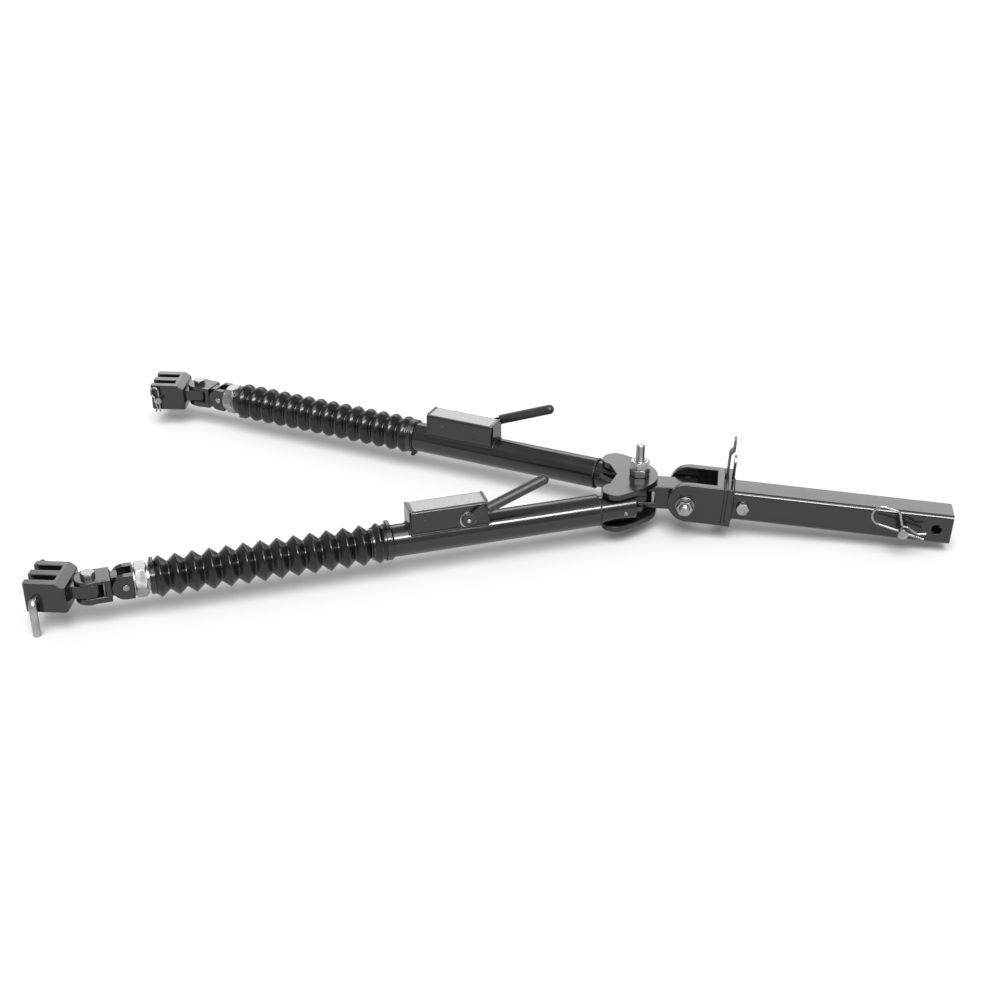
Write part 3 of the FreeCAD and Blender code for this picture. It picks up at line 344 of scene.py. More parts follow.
def revolve(profile, count, closed=True):
    """Turn (distance, radius) pairs about the local X axis."""
    shape = bmesh.new()
    around = turn_points(count)
    rings = [
        [shape.verts.new((distance, radius * cosine, radius * sine)) for cosine, sine in around]
        for distance, radius in profile
    ]
    rings_to_faces(shape, rings, closed)
    return shape


def prism(outline, low, high):
    """Outline in the local XY plane, extruded along Z."""
    shape = bmesh.new()
    rings_to_faces(shape, [[shape.verts.new((x, y, z)) for x, y in outline] for z in (low, high)])
    return shape


def rounded(corners, steps=6):
    """Outline with arcs at its corners; each corner is (x, y, radius)."""
    outline = []
    count = len(corners)
    for i, (x, y, radius) in enumerate(corners):
        corner = Vector((x, y))
        if radius == 0:
            outline.append((x, y))
            continue
        back = (Vector(corners[i - 1][:2]) - corner).normalized()
        ahead = (Vector(corners[(i + 1) % count][:2]) - corner).normalized()
        half = back.angle(ahead) / 2
        centre = corner + (back + ahead).normalized() * (radius / math.sin(half))
        start = corner + back * (radius / math.tan(half)) - centre
        end = corner + ahead * (radius / math.tan(half)) - centre
        sweep = math.pi - 2 * half
        turn = 1 if start.x * end.y - start.y * end.x > 0 else -1
        for step in range(steps + 1):
            angle = turn * sweep * step / steps
            cosine = math.cos(angle)
            sine = math.sin(angle)
            outline.append((
                centre.x + start.x * cosine - start.y * sine,
                centre.y + start.x * sine + start.y * cosine,
            ))
    return outline


def rectangle(low_x, high_x, low_y, high_y, radius, steps=6):
    corners = [(low_x, low_y), (high_x, low_y), (high_x, high_y), (low_x, high_y)]
    return rounded([(*corner, radius) for corner in corners], steps)


def aimed(base, origin, along, across):
    """Frame inside another one, with X along one direction and Y along a second."""
    x_axis = Vector(along).normalized()
    y_axis = Vector(across).normalized()
    turn = Matrix((x_axis, y_axis, x_axis.cross(y_axis))).transposed().to_4x4()
    return base @ Matrix.Translation(origin) @ turn


def upright(base, origin=(0, 0, 0)):
    return aimed(base, origin, (0, 0, 1), (1, 0, 0))


def sideways(base, origin, side):
    """X points along the local Y axis, or against it."""
    return aimed(base, origin, (0, side, 0), (1, 0, 0))


HEX_STEPS = 8
CROWN = 0.97
CONE = math.tan(math.radians(30))
BORE_CHAMFER = 0.6
HEX_SOFTNESS = 0.35


def hexed(flats, low, high, bore=0.0, crowned=(True, True)):
    """Hexagon about X with a corner along Y, its corners cut by a cone as on nuts and bolt heads."""
    shape = bmesh.new()
    count = 6 * HEX_STEPS
    crown = flats / 2 * CROWN
    angles = [2 * math.pi * i / count for i in range(count)]
    reach = [flats / 2 / math.cos(angle % (math.pi / 3) - math.pi / 6) for angle in angles]

    def ring(distance, radii, drop=0.0):
        return [
            shape.verts.new((
                distance + drop * (radius - crown) * CONE,
                radius * math.cos(angle),
                radius * math.sin(angle),
            ))
            for angle, radius in zip(angles, radii)
        ]

    def even(radius):
        return [radius] * count

    rings = [
        ring(low, even(crown)),
        ring(low, reach, 1.0 if crowned[0] else 0.0),
        ring(high, reach, -1.0 if crowned[1] else 0.0),
        ring(high, even(crown)),
    ]
    if bore:
        mouth = even(bore + BORE_CHAMFER)
        rings += [ring(high, mouth), ring(high - BORE_CHAMFER, even(bore))]
        rings += [ring(low + BORE_CHAMFER, even(bore)), ring(low, mouth)]
    rings_to_faces(shape, rings, closed=bool(bore))
    return shape


def hex_piece(name, matrix, body, flats, span, bore=0.0, crowned=(True, True)):
    piece = finished(name, hexed(flats, *span, bore, crowned), matrix, body, ZINC)
    return soft_edges(piece, HEX_SOFTNESS, 2, HEX_EDGE_ANGLE)


BEAD_SIDES = 10
# A bead is laid down along a path of points less than a millimetre apart
BEAD_STEP = 0.8
RIPPLE_POINTS = 3.6
RIPPLE = 0.14
LUMPS = 0.22
LUMP_SIZE = 0.35
# Never along a bead, so that it can be crossed with the bead's run
ASKEW = Vector((0.31, 0.17, 0.93))


def bead(name, path, radius, matrix, body, closed=False):
    """Rippled weld bead along a path."""
    shape = bmesh.new()
    around = turn_points(BEAD_SIDES)
    count = len(path)
    rings = []
    for i, spot in enumerate(path):
        here = Vector(spot)
        before = Vector(path[i - 1] if closed else path[max(i - 1, 0)])
        after = Vector(path[(i + 1) % count if closed else min(i + 1, count - 1)])
        run = (after - before).normalized()
        side = run.cross(ASKEW).normalized()
        lift = side.cross(run)
        ripple = math.sin(2 * math.pi * i / RIPPLE_POINTS)
        swell = radius * (1 + RIPPLE * ripple + LUMPS * noise.noise(here * LUMP_SIZE))
        offsets = [(side * cosine + lift * sine) * swell for cosine, sine in around]
        rings.append([shape.verts.new(here + offset) for offset in offsets])
    rings_to_faces(shape, rings, closed)
    finished(name, shape, matrix, body, WELD)


def line(start, end):
    first = Vector(start)
    run = Vector(end) - first
    count = max(int(run.length / BEAD_STEP), 2)
    return [first + run * i / count for i in range(count + 1)]


# ---------- CAD nodes that keep their own shape ----------

# Radius left on the edges of each node
SOFTENED = {
    "shank_tube": 0.8,
    "shank_front_plate": 0.9,
    "swivel_plate": 0.8,
    "swivel_latch": 0.4,
    "yoke": 1.6,
    "tongue": 1.4,
    "head_top_plate": 1.0,
    "head_bottom_plate": 1.0,
    "yoke_washers": 0.5,
}
ARM_SOFTENED = {
    "knuckle": 0.8,
    "outer_tube": 0.8,
    "lever": 0.8,
    "rod_end": 1.0,
    "clevis": 1.6,
    "cross_pin": 0.6,
}
# The swivel latch is zinc plated; its darker metal is painted shade for its faces seen at a grazing angle. The
# lever has satin paint.
OWN_MATERIAL = {"swivel_latch": DARK_STEEL_AND_SHADED_ZINC, "lever": SATIN}


def finish_frame():
    for name, width in SOFTENED.items():
        soften(name, width, OWN_MATERIAL.get(name))
    for hand in HANDS:
        for name, width in ARM_SOFTENED.items():
            soften(f"{hand}_{name}", width, OWN_MATERIAL.get(name))
    for name, cad in frame["nodes"].items():
        cad.data.materials.clear()
        cad.data.materials.append(FINISH[SLOT_OF[name]])


# ---------- bolts and nuts ----------

# Along each bolt: where its head, shaft and nuts start and end
YOKE_BOLT_RADIUS = 8
YOKE_BOLT_FLATS = 24
YOKE_BOLT_HEAD = (-51.4, -41.4)
YOKE_BOLT_SHAFT = (-41.4, 53.9)
YOKE_BOLT_THREAD = (54.2, 60)
YOKE_NUT = (41.5, 53.9)
NUT_CLEARANCE = 0.05

RETAINING_AT = 92.4
RETAINING_FLATS = 19
RETAINING_HEAD = (26.2, 33.4)
RETAINING_WASHER = [(25.4, 9.6), (26.4, 9.6)]
RETAINING_SHAFT = [(10.4, 6), (26.3, 6)]

KING_RADIUS = 9.5
KING_FLATS = 28.6
KING_HEAD = (-45.5, -33.5)
KING_NUTS = {"lower": (33.6, 46.5), "upper": (46.9, 59.8)}
KING_NUT_TURNS = {"lower": 0, "upper": 12}
# The shaft ends in a narrower stud
KING_PROFILE = [(-33.5, 9.5), (59.4, 9.5), (60.0, 8.9), (60.0, 7.0), (86.8, 7.0), (88.0, 5.9)]

CLEVIS_BOLT_AT = 879.7
CLEVIS_BOLT_FLATS = 19
CLEVIS_BOLT_RADIUS = 6.35
CLEVIS_BOLT_HEAD = (18, 25.5)
CLEVIS_BOLT_PROFILE = [(-27.9, 5.2), (-26.9, 6.35), (18, 6.35)]
CLEVIS_NUT = (-27.5, -20.1)

COLLAR_FLATS = 47.0
COLLAR_BORE = 11.2
COLLAR_HEX = (796.3, 814.2)
COLLAR_FLANGE_RADIUS = 23.4
COLLAR_FLANGES = {"rear": (794.5, 796.6), "front": (813.9, 816)}

THREAD_PITCH = 1.75
THREAD_DEPTH = 0.55
THREAD_RISE = THREAD_PITCH * 0.45
THREAD_CREST = THREAD_PITCH * 0.6
THREAD_CHAMFER = (1.2, 1.6)


def threads(start, end, radius):
    """Profile of the ridges of a thread between two distances, ending in a chamfer."""
    profile = []
    root = radius - THREAD_DEPTH
    for i in range(int((end - start) / THREAD_PITCH)):
        at = start + i * THREAD_PITCH
        profile += [(at, root), (at + THREAD_RISE, radius), (at + THREAD_CREST, radius)]
    length, depth = THREAD_CHAMFER
    return profile + [(end - length, root), (end, radius - depth)]


def turned_piece(name, profile, matrix, body, material=ZINC, soft=0.3):
    piece = finished(name, revolve(profile, BOLT_SIDES, closed=False), matrix, body, material)
    return soft_edges(piece, soft, 2, TURNED_EDGE_ANGLE)


def yoke_bolts():
    """The yoke bolt lies across the shank with its nut on the camera's side."""
    across = sideways(SHANK_FRAME, (0, 0, 0), -1)
    profile = [(distance, YOKE_BOLT_RADIUS) for distance in YOKE_BOLT_SHAFT]
    profile += threads(*YOKE_BOLT_THREAD, YOKE_BOLT_RADIUS)
    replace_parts(turned_piece("yoke_bolt_shaft", profile, across, "yoke", soft=0.15), "yoke_bolt")
    hex_piece("yoke_bolt_head", across, "yoke", YOKE_BOLT_FLATS, YOKE_BOLT_HEAD, crowned=(True, False))
    bore = YOKE_BOLT_RADIUS + NUT_CLEARANCE
    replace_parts(hex_piece("yoke_bolt_nut", across, "yoke", YOKE_BOLT_FLATS, YOKE_NUT, bore), "yoke_nut")


def retaining():
    across = sideways(SHANK_FRAME, (RETAINING_AT, 0, 0), -1)
    head = hex_piece(
        "retaining_bolt_head", across, "shank", RETAINING_FLATS, RETAINING_HEAD, crowned=(False, True),
    )
    turned_piece("retaining_bolt_washer", RETAINING_WASHER, across, "shank", soft=0.2)
    turned_piece("retaining_bolt_shaft", RETAINING_SHAFT, across, "shank", soft=0.2)
    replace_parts(head, "retaining_bolt")


def king_bolts():
    stand = upright(HEAD_FRAME)
    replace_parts(turned_piece("king_bolt_shaft", KING_PROFILE, stand, "head", soft=0.25), "king_bolt")
    hex_piece("king_bolt_head", stand, "head", KING_FLATS, KING_HEAD, crowned=(True, False))
    nuts = {}
    for level, span in KING_NUTS.items():
        turned = stand @ Matrix.Rotation(math.radians(KING_NUT_TURNS[level]), 4, "X")
        bore = KING_RADIUS + NUT_CLEARANCE
        nuts[level] = hex_piece(f"king_nut_{level}", turned, "head", KING_FLATS, span, bore)
    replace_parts(nuts["lower"], "king_nuts")


def clevis_bolts(hand):
    body = f"{hand}_clevis"
    bolt = f"{hand}_clevis_bolt"
    stand = upright(arm_frame(hand), (CLEVIS_BOLT_AT, 0, 0))
    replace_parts(turned_piece(f"{bolt}_shaft", CLEVIS_BOLT_PROFILE, stand, body), bolt)
    hex_piece(f"{bolt}_head", stand, body, CLEVIS_BOLT_FLATS, CLEVIS_BOLT_HEAD, crowned=(False, True))
    bore = CLEVIS_BOLT_RADIUS + NUT_CLEARANCE
    nut = hex_piece(f"{bolt}_nut", stand, body, CLEVIS_BOLT_FLATS, CLEVIS_NUT, bore)
    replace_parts(nut, f"{hand}_clevis_nut")


def centred(hand):
    return aimed(arm_frame(hand), (0, 0, 0), (1, 0, 0), (0, 1, 0))


def collar(hand):
    """Thick hex nut with a narrow turned flange at each end."""
    body = f"{hand}_leg"
    nut = hex_piece(f"{hand}_collar_hex", centred(hand), body, COLLAR_FLATS, COLLAR_HEX, COLLAR_BORE)
    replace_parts(nut, f"{hand}_collar_nut")
    for side, span in COLLAR_FLANGES.items():
        profile = [(distance, COLLAR_FLANGE_RADIUS) for distance in span]
        turned_piece(f"{hand}_collar_{side}_flange", profile, centred(hand), body, soft=0.4)


# ---------- latch boxes and levers ----------

TUBE_RADIUS = 25.4
BOX_START = 271.9
BOX_END = 398.0
BOX_HALF = 19.7
BOX_TOP = 54.7
BOX_LOW = 13.4
BOX_WALL = 3.0
BOX_FOLD = 3.4
BOX_INNER_FOLD = 1.0
# End plates stand proud of the fold, and sit on the tube in a saddle
PLATE_THICK = 4
PLATE_PROUD = 0.9
PLATE_CORNER = 4.2
SADDLE_RADIUS = 24.6
SADDLE_STEPS = 24
LABEL_MARGIN = 4.6
LABEL_INSET = 6.5
LABEL_CORNER = 1.5
LABEL_LEVELS = (-0.2, 0.5)
WELD_RADIUS = 1.9
# How far a bead's middle stands off the faces it joins
WELD_GAP = 0.4
WELD_LIFT = 0.2
SEAM_STEPS = 45
RIVET_ROOT = 0.5
# Shares of how far a rivet stands proud, and of its radius
RIVET_DOME = [(0.4, 1.0), (0.85, 0.7), (1.0, 0.3)]

PIVOT = (306, 30)
WASHER_RADIUS = 13.6
WASHER_BORE = 5
WASHER_SPAN = (20.0, 21.4)
SCREW_PROFILE = [(25.4, 3.4), (26.6, 3.4), (27.6, 2.6), (28.0, 1.0)]
BUSH_PROFILE = [(-0.5, 5.2), (0.7, 5.2), (0.7, 3.4), (-0.5, 3.4)]

TUBE_WELD_AT = 86.2
TUBE_WELD_REACH = 23.9
TUBE_WELD_STEPS = 190
GREASE_AT = (45, 0, -1)
GREASE_PROFILE = [(21.5, 2.9), (23.6, 2.9), (23.9, 1.6), (25.2, 1.6), (25.6, 2.1), (26.4, 1.9), (26.9, 1.0)]

SHANK_WELD_AT = 75.4
SHANK_WELD_HALF = 25.6
SHANK_CORNER = 6
SHANK_CORNER_STEPS = 8


def latch_case(hand):
    """Folded box on the tube, closed by an end plate at each end, with a blank silver plate on top."""
    body = f"{hand}_arm"
    section = aimed(arm_frame(hand), (0, 0, 0), (0, 1, 0), (0, 0, 1))
    inner = BOX_HALF - BOX_WALL
    ceiling = BOX_TOP - BOX_WALL
    fold = [(BOX_HALF, BOX_LOW, 0), (BOX_HALF, BOX_TOP, BOX_FOLD)]
    fold += [(-BOX_HALF, BOX_TOP, BOX_FOLD), (-BOX_HALF, BOX_LOW, 0)]
    fold += [(-inner, BOX_LOW, 0), (-inner, ceiling, BOX_INNER_FOLD)]
    fold += [(inner, ceiling, BOX_INNER_FOLD), (inner, BOX_LOW, 0)]
    low = BOX_START + PLATE_THICK / 2
    high = BOX_END - PLATE_THICK / 2
    case = painted(f"{hand}_latch_case", prism(rounded(fold), low, high), section, body)
    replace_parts(case, f"{hand}_latch_box")
    soft_edges(case, 0.3, 2)

    half = BOX_HALF + PLATE_PROUD
    top = BOX_TOP + PLATE_PROUD
    reach = math.asin(half / SADDLE_RADIUS)
    angles = [reach * (1 - 2 * i / SADDLE_STEPS) for i in range(SADDLE_STEPS + 1)]
    saddle = [(-SADDLE_RADIUS * math.sin(angle), SADDLE_RADIUS * math.cos(angle)) for angle in angles]
    crown = rounded([(half, top, PLATE_CORNER), (-half, top, PLATE_CORNER), (-half, BOX_LOW, 0)])[:-1]
    ends = {"rear": (BOX_START, BOX_START + PLATE_THICK), "front": (BOX_END - PLATE_THICK, BOX_END)}
    for end, span in ends.items():
        plate = painted(f"{hand}_latch_case_{end}", prism(saddle + crown, *span), section, body)
        soft_edges(plate, 1.1)

    half = BOX_HALF - LABEL_MARGIN
    outline = rectangle(BOX_START + LABEL_INSET, BOX_END - LABEL_INSET, -half, half, LABEL_CORNER)
    levels = [BOX_TOP + level for level in LABEL_LEVELS]
    label = finished(f"{hand}_label_plate", prism(outline, *levels), arm_frame(hand), body, LABEL)
    soft_edges(label, 0.2, 2)


def case_welds(hand):
    """Beads along the four edges where the box meets the tube."""
    body = f"{hand}_arm"
    level = math.sqrt(TUBE_RADIUS**2 - BOX_HALF**2) + WELD_LIFT
    for name, side in {"far": -1, "near": 1}.items():
        edge = side * (BOX_HALF + WELD_GAP)
        path = line((BOX_START + 1, edge, level), (BOX_END - 1, edge, level))
        bead(f"{hand}_box_weld_{name}", path, WELD_RADIUS, arm_frame(hand), body)
    for name, at in {"rear": BOX_START - WELD_GAP, "front": BOX_END + WELD_GAP}.items():
        spots = [-BOX_HALF + 2 * BOX_HALF * i / SEAM_STEPS for i in range(SEAM_STEPS + 1)]
        path = [(at, across, math.sqrt(TUBE_RADIUS**2 - across**2) + WELD_GAP) for across in spots]
        bead(f"{hand}_box_weld_{name}", path, WELD_RADIUS, arm_frame(hand), body)


def rivet(name, hand, along, level, radius, proud):
    """Low domed head on the side of the latch box that faces the camera."""
    matrix = sideways(arm_frame(hand), (along, BOX_HALF, level), 1)
    profile = [(-RIVET_ROOT, radius)]
    profile += [(proud * height, radius * width) for height, width in RIVET_DOME]
    turned_piece(name, profile, matrix, f"{hand}_arm", DARK_STEEL_AND_SHADED_ZINC, 0.2)


def pivot_hole(hand):
    """The lever's shaft ends in a bushed hole on the inner side of the left box."""
    matrix = sideways(arm_frame(hand), (PIVOT[0], BOX_HALF, PIVOT[1]), 1)
    piece = painted(f"{hand}_pivot_bush", revolve(BUSH_PROFILE, BUSH_SIDES), matrix, f"{hand}_arm")
    soft_edges(piece, 0.25, 2)


def lever_hub(hand):
    """Plain washer behind the lever, and the small domed screw that holds it."""
    body = f"{hand}_lever"
    matrix = sideways(arm_frame(hand), (PIVOT[0], 0, PIVOT[1]), outward(hand))
    low, high = WASHER_SPAN
    profile = [(low, WASHER_RADIUS), (high, WASHER_RADIUS), (high, WASHER_BORE), (low, WASHER_BORE)]
    washer = finished(f"{hand}_lever_washer", revolve(profile, WASHER_SIDES), matrix, body, ZINC)
    soft_edges(washer, 0.3, 2)
    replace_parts(washer, f"{hand}_lever_screw")
    turned_piece(f"{hand}_lever_screw_head", SCREW_PROFILE, matrix, body, SPRING, 0.25)


def arm_details(hand):
    """Weld between the tube and the knuckle, and a grease fitting on the knuckle's outer side."""
    body = f"{hand}_arm"
    around = turn_points(TUBE_WELD_STEPS)
    ring = [(TUBE_WELD_AT, TUBE_WELD_REACH * cosine, TUBE_WELD_REACH * sine) for cosine, sine in around]
    bead(f"{hand}_tube_weld", ring, WELD_RADIUS, arm_frame(hand), body, closed=True)
    matrix = sideways(arm_frame(hand), GREASE_AT, outward(hand))
    turned_piece(f"{hand}_grease_fitting", GREASE_PROFILE, matrix, body, soft=0.2)


def shank_weld():
    """Bead where the shank meets its front plate."""
    half = SHANK_WELD_HALF
    outline = rectangle(-half, half, -half, half, SHANK_CORNER, SHANK_CORNER_STEPS)
    path = []
    for start, end in zip(outline, outline[1:] + outline[:1]):
        path += line((SHANK_WELD_AT, *start), (SHANK_WELD_AT, *end))[:-1]
    bead("shank_weld", path, WELD_RADIUS, SHANK_FRAME, "shank", closed=True)


# ---------- lugs ----------

# Distances from the upright clevis bolt, along the lug and towards the other arm
LUG_START = 24
LUG_END = 86
LUG_INNER = 30
LUG_OUTER = -36.5
LUG_HALF_HEIGHT = 24
LUG_CORNER = 4
LUG_SOFTNESS = 1.3
SLOT_FLOOR = 42.5
SLOT_HALF = 6.25
SLOT_CENTRES = (-16, 11)
SLOT_MOUTH_CORNER = 1.6
SLOT_FLOOR_CORNER = 1.2
# A slope takes off the top edge next to the clevis
SLOPE_LEVEL = 16
SLOPE_NORMAL = Vector((-8, 0, 12)).normalized()
TANG_RADIUS = 20
TANG_REACH = 25
TANG_SPAN = (-9, 11)
TANG_STEPS = 32


def lug_block(hand):
    """Block whose two open slots take the base plate's tabs, with its tang in the clevis."""
    side = outward(hand)
    body = f"{hand}_lug"
    corners = [(LUG_START, LUG_INNER, LUG_CORNER), (LUG_START, LUG_OUTER, LUG_CORNER)]
    corners += [(LUG_END, LUG_OUTER, LUG_CORNER)]
    for centre in SLOT_CENTRES:
        low = centre - SLOT_HALF
        high = centre + SLOT_HALF
        corners += [(LUG_END, low, SLOT_MOUTH_CORNER), (SLOT_FLOOR, low, SLOT_FLOOR_CORNER)]
        corners += [(SLOT_FLOOR, high, SLOT_FLOOR_CORNER), (LUG_END, high, SLOT_MOUTH_CORNER)]
    corners += [(LUG_END, LUG_INNER, LUG_CORNER)]
    outline = rounded([(x, -side * y, radius) for x, y, radius in corners])
    shape = prism(outline, -LUG_HALF_HEIGHT, LUG_HALF_HEIGHT)
    whole = shape.verts[:] + shape.edges[:] + shape.faces[:]
    foot = (LUG_START, 0, SLOPE_LEVEL)
    cut = bmesh.ops.bisect_plane(shape, geom=whole, plane_co=foot, plane_no=SLOPE_NORMAL, clear_outer=True)
    rim = [item for item in cut["geom_cut"] if isinstance(item, bmesh.types.BMEdge)]
    bmesh.ops.edgeloop_fill(shape, edges=rim)
    block = painted(f"{hand}_lug_block", shape, lug_frame(hand), body)
    soft_edges(block, LUG_SOFTNESS, 4)
    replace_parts(block, f"{hand}_lug")

    angles = [math.pi / 2 + math.pi * i / TANG_STEPS for i in range(TANG_STEPS + 1)]
    nose = [(TANG_RADIUS * math.cos(angle), TANG_RADIUS * math.sin(angle)) for angle in angles]
    root = [(TANG_REACH, -TANG_RADIUS), (TANG_REACH, TANG_RADIUS)]
    tang = painted(f"{hand}_lug_tang", prism(nose + root, *TANG_SPAN), lug_frame(hand), body)
    soft_edges(tang, 0.8)


# ---------- boots ----------

BOOT_START = 424.0
BOOT_END = 792.5
BOOT_WALL = 1.4
TUBE_END = 452
CUFF_RADIUS = 27.6
CUFF_BORE = 25.6
FRONT_CUFF_RADIUS = 24.2
FRONT_CUFF = 7.6
LEG_CLEARANCE = 19.4
# Small steps that round off the ends of the boot
LIP = 0.6
REAR_LIP = [(0, -1.0), (0.8, 0)]
SHOULDER = 2
FIRST_PLEAT = 446.0
LAST_PLEAT = 777.0
PLEATS_END = BOOT_END - 8
PLEATS = 14
PITCH = (LAST_PLEAT - FIRST_PLEAT) / (PLEATS - 1)
STEPS_PER_PLEAT = 16
PEAK = 32.0
ROOT = 21.2
CREST = 0.96
# The near boot's pleats are straight-sided, the far boot's nearly round
SHARPNESS = {"right": 1.0, "left": 0.15}

BAND_THICK = 1.5
BAND_EDGE = 0.9
BAND_CREST = 1.3
BAND_GROOVES = 5
GROOVE_FLOOR = 0.95
GROOVE_HALF = 0.35
GROOVE_MARGIN = 1.2
HOUSING_LIFT = 4.4
HOUSING_SHARE = 0.85
HOUSING_HALF = 3.4
HOUSING_LENGTH = 6
HOUSING_CORNERS = (1.2, 2.6)
CLAMP_SCREW_FLATS = 6.2
CLAMP_SCREW = (6.4, 9.6)
REAR_CLAMP_AT = 431
REAR_CLAMP_WIDTH = 9
FRONT_CLAMP_AT = 788
FRONT_CLAMP_WIDTH = 7


def pleat_radius(distance, sharp):
    """Between a straight-sided pleat with a crisp crest and one with a round crest and a narrow valley."""
    phase = (distance - FIRST_PLEAT) / PITCH
    fold = 1 - 2 * abs(phase - round(phase))
    bulged = math.sin(math.pi / 2 * fold)
    return ROOT + (PEAK - ROOT) * (sharp * min(fold, CREST) + (1 - sharp) * bulged)


def boot(hand):
    """Bellows between two clamps, with its wall inside it, over the end of the tube and the leg."""
    start = FIRST_PLEAT - PITCH / 2
    count = PLEATS * STEPS_PER_PLEAT
    outer = [(BOOT_START + step, CUFF_RADIUS + drop) for step, drop in REAR_LIP]
    outer += [(start - SHOULDER, CUFF_RADIUS)]
    inner = []
    for i in range(count + 1):
        distance = start + PLEATS * PITCH * i / count
        if distance > PLEATS_END:
            break
        radius = pleat_radius(distance, SHARPNESS[hand])
        if distance < FIRST_PLEAT:
            radius = max(radius, CUFF_RADIUS - LIP)
        outer.append((distance, radius))
        if distance > TUBE_END:
            inner.append((distance, max(radius - BOOT_WALL, LEG_CLEARANCE)))
    outer += [(BOOT_END - FRONT_CUFF, FRONT_CUFF_RADIUS), (BOOT_END - LIP, FRONT_CUFF_RADIUS)]
    outer += [(BOOT_END, FRONT_CUFF_RADIUS - LIP), (BOOT_END, LEG_CLEARANCE + LIP)]
    loop = outer + inner[::-1] + [(TUBE_END - 1, CUFF_BORE), (BOOT_START, CUFF_BORE)]
    shape = revolve(loop, BOOT_SIDES)
    piece = finished(f"{hand}_bellows", shape, arm_frame(hand), f"{hand}_arm", RUBBER)
    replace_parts(piece, f"{hand}_boot")
    piece.parent = None
    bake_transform(piece)


def hose_clamp(name, hand, body, at, radius, width):
    """Worm-drive band with a ribbed tail, its screw housing and a hex-headed screw."""
    half = width / 2
    ribbed = width - 2 * GROOVE_MARGIN
    profile = [(-half, radius), (-half, radius + BAND_THICK), (BAND_EDGE - half, radius + BAND_THICK)]
    for i in range(BAND_GROOVES):
        spot = GROOVE_MARGIN - half + ribbed * (i + 0.5) / BAND_GROOVES
        profile += [(spot - GROOVE_HALF, radius + BAND_CREST), (spot, radius + GROOVE_FLOOR)]
        profile += [(spot + GROOVE_HALF, radius + BAND_CREST)]
    profile += [(half - BAND_EDGE, radius + BAND_THICK), (half, radius + BAND_THICK), (half, radius)]
    profile = [(at + distance, reach) for distance, reach in profile]
    band = painted(name, revolve(profile, BAND_SIDES), centred(hand), body)

    top = outward(hand)
    middle = (at, 0, top * (radius + HOUSING_LIFT))
    reach = half * HOUSING_SHARE
    tight, wide = HOUSING_CORNERS
    corners = [(-reach, -HOUSING_HALF, tight), (reach, -HOUSING_HALF, tight)]
    corners += [(reach, HOUSING_HALF, wide), (-reach, HOUSING_HALF, wide)]
    stand = aimed(arm_frame(hand), middle, (1, 0, 0), (0, 0, top))
    housing = prism(rounded(corners), -HOUSING_LENGTH, HOUSING_LENGTH)
    soft_edges(painted(f"{name}_housing", housing, stand, body), 0.5, 2)
    screw = hexed(CLAMP_SCREW_FLATS, *CLAMP_SCREW, crowned=(False, True))
    across = sideways(arm_frame(hand), middle, 1)
    soft_edges(painted(f"{name}_screw", screw, across, body), 0.25, 2, HEX_EDGE_ANGLE)
    return band


def boots():
    for hand in HANDS:
        boot(hand)
        band = hose_clamp(
            f"{hand}_rear_clamp", hand, f"{hand}_arm", REAR_CLAMP_AT, CUFF_RADIUS, REAR_CLAMP_WIDTH,
        )
        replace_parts(band, f"{hand}_boot_clamp")
        hose_clamp(
            f"{hand}_front_clamp", hand, f"{hand}_leg", FRONT_CLAMP_AT, FRONT_CUFF_RADIUS, FRONT_CLAMP_WIDTH,
        )


# ---------- setting ----------

FLOOR_HALF = 60.0
FLOOR_COLOUR = (0.9, 0.9, 0.9)
FLOOR_ROUGHNESS = 0.8
SKY = 0.56
CEILING = 2.25
CEILING_SPREAD = 45
CEILING_TILT = 26
# Soft boxes that show only in gloss. In metres from the king bolt, where each stands and what it faces,
# then its width, its height and its power in watts.
SOFT_BOXES = {
    "key_strip": ((0.82, -2.2, 2.4), (0.1, 0, 0), 2.35, 0.5, 150),
    "back_panel": ((-0.2, 3.2, 1.9), (-0.2, 0, 0), 4.5, 1.6, 56),
}

AZIMUTH = 3.69
ELEVATION = 28.8
DISTANCE = 2.4376
TARGET = HUB + Vector((-0.2251, -0.0402, 0))
LENS = 54
SENSOR = 36
CLIP_END = 100


def placed(name, data):
    thing = bpy.data.objects.new(name, data)
    bpy.context.scene.collection.objects.link(thing)
    return thing


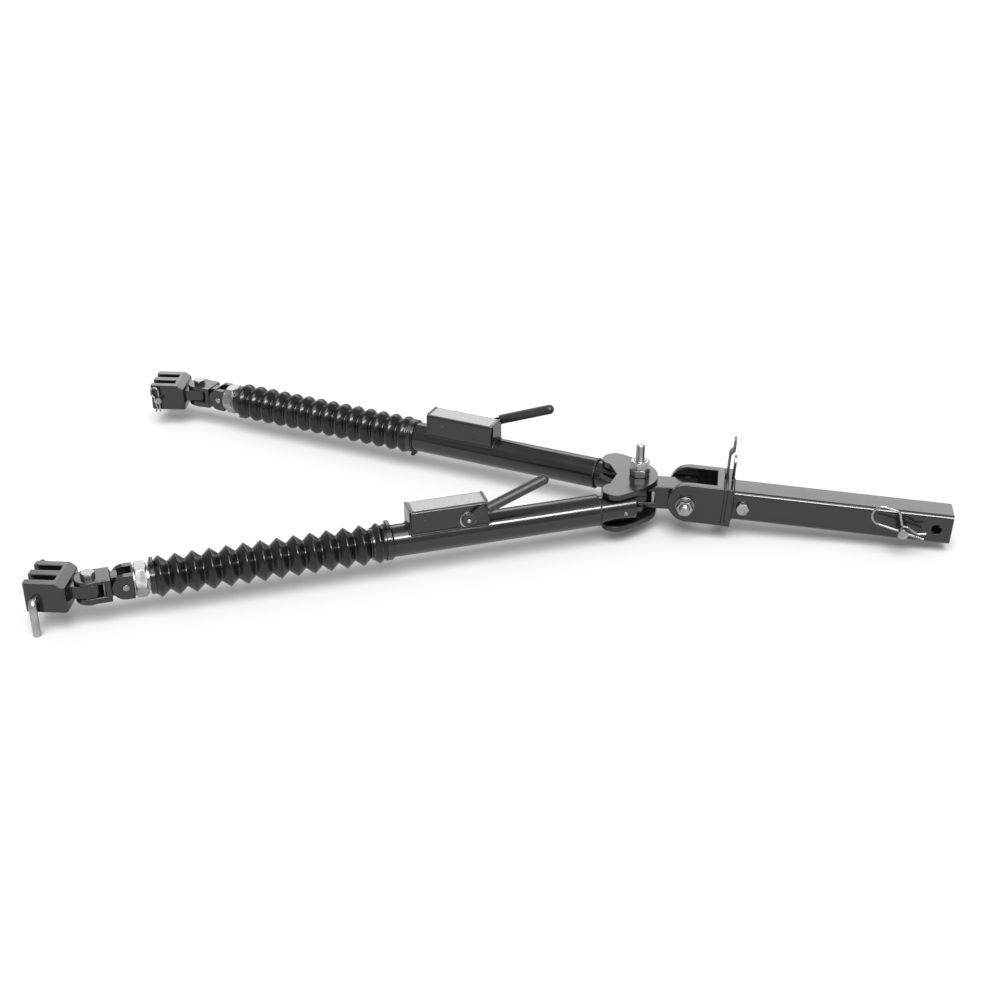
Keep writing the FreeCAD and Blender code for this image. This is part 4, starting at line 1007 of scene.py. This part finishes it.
def soft_box(name, place, aim, width, height, power):
    data = bpy.data.lights.new(name, "AREA")
    data.energy = power
    data.shape = "RECTANGLE"
    data.size = width
    data.size_y = height
    lamp = placed(name, data)
    lamp.location = HUB + Vector(place)
    lamp.rotation_euler = (Vector(aim) - Vector(place)).to_track_quat("-Z", "Y").to_euler()
    lamp.visible_diffuse = False


def floor():
    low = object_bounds()[0][2]
    half = FLOOR_HALF
    corners = [(-half, -half, low), (half, -half, low), (half, half, low), (-half, half, low)]
    mesh = bpy.data.meshes.new("floor")
    mesh.from_pydata(corners, [], [(0, 1, 2, 3)])
    mesh.materials.append(plain("floor", FLOOR_COLOUR, FLOOR_ROUGHNESS)[0])
    ground = placed("floor", mesh)
    ground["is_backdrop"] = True


def surroundings():
    world = bpy.data.worlds.new("studio")
    bpy.context.scene.world = world
    world.use_nodes = True
    background = world.node_tree.nodes["Background"]
    background.inputs["Color"].default_value = (1, 1, 1, 1)
    background.inputs["Strength"].default_value = SKY
    for name, values in SOFT_BOXES.items():
        soft_box(name, *values)
    sun = bpy.data.lights.new("ceiling", "SUN")
    sun.energy = CEILING
    sun.angle = math.radians(CEILING_SPREAD)
    placed("ceiling", sun).rotation_euler = (math.radians(CEILING_TILT), 0, 0)


def camera():
    data = bpy.data.cameras.new("camera")
    data.lens = LENS
    data.sensor_width = SENSOR
    data.clip_end = CLIP_END
    eye = placed("camera", data)
    azimuth = math.radians(AZIMUTH)
    elevation = math.radians(ELEVATION)
    back = Vector((
        math.sin(azimuth) * math.cos(elevation),
        -math.cos(azimuth) * math.cos(elevation),
        math.sin(elevation),
    ))
    eye.location = TARGET + back * DISTANCE
    eye.rotation_euler = (-back).to_track_quat("-Z", "Y").to_euler()
    bpy.context.scene.camera = eye


camera()
finish_frame()
yoke_bolts()
retaining()
king_bolts()
shank_weld()
boots()
for hand in HANDS:
    clevis_bolts(hand)
    collar(hand)
    latch_case(hand)
    case_welds(hand)
    lever_hub(hand)
    arm_details(hand)
    lug_block(hand)
rivet("right_box_rivet", "right", along=375, level=38.5, radius=1.7, proud=0.8)
rivet("left_box_rivet", "left", along=366, level=38.7, radius=2.4, proud=1.0)
pivot_hole("left")
floor()
surroundings()
bpy.context.scene.view_settings.view_transform = "Standard"
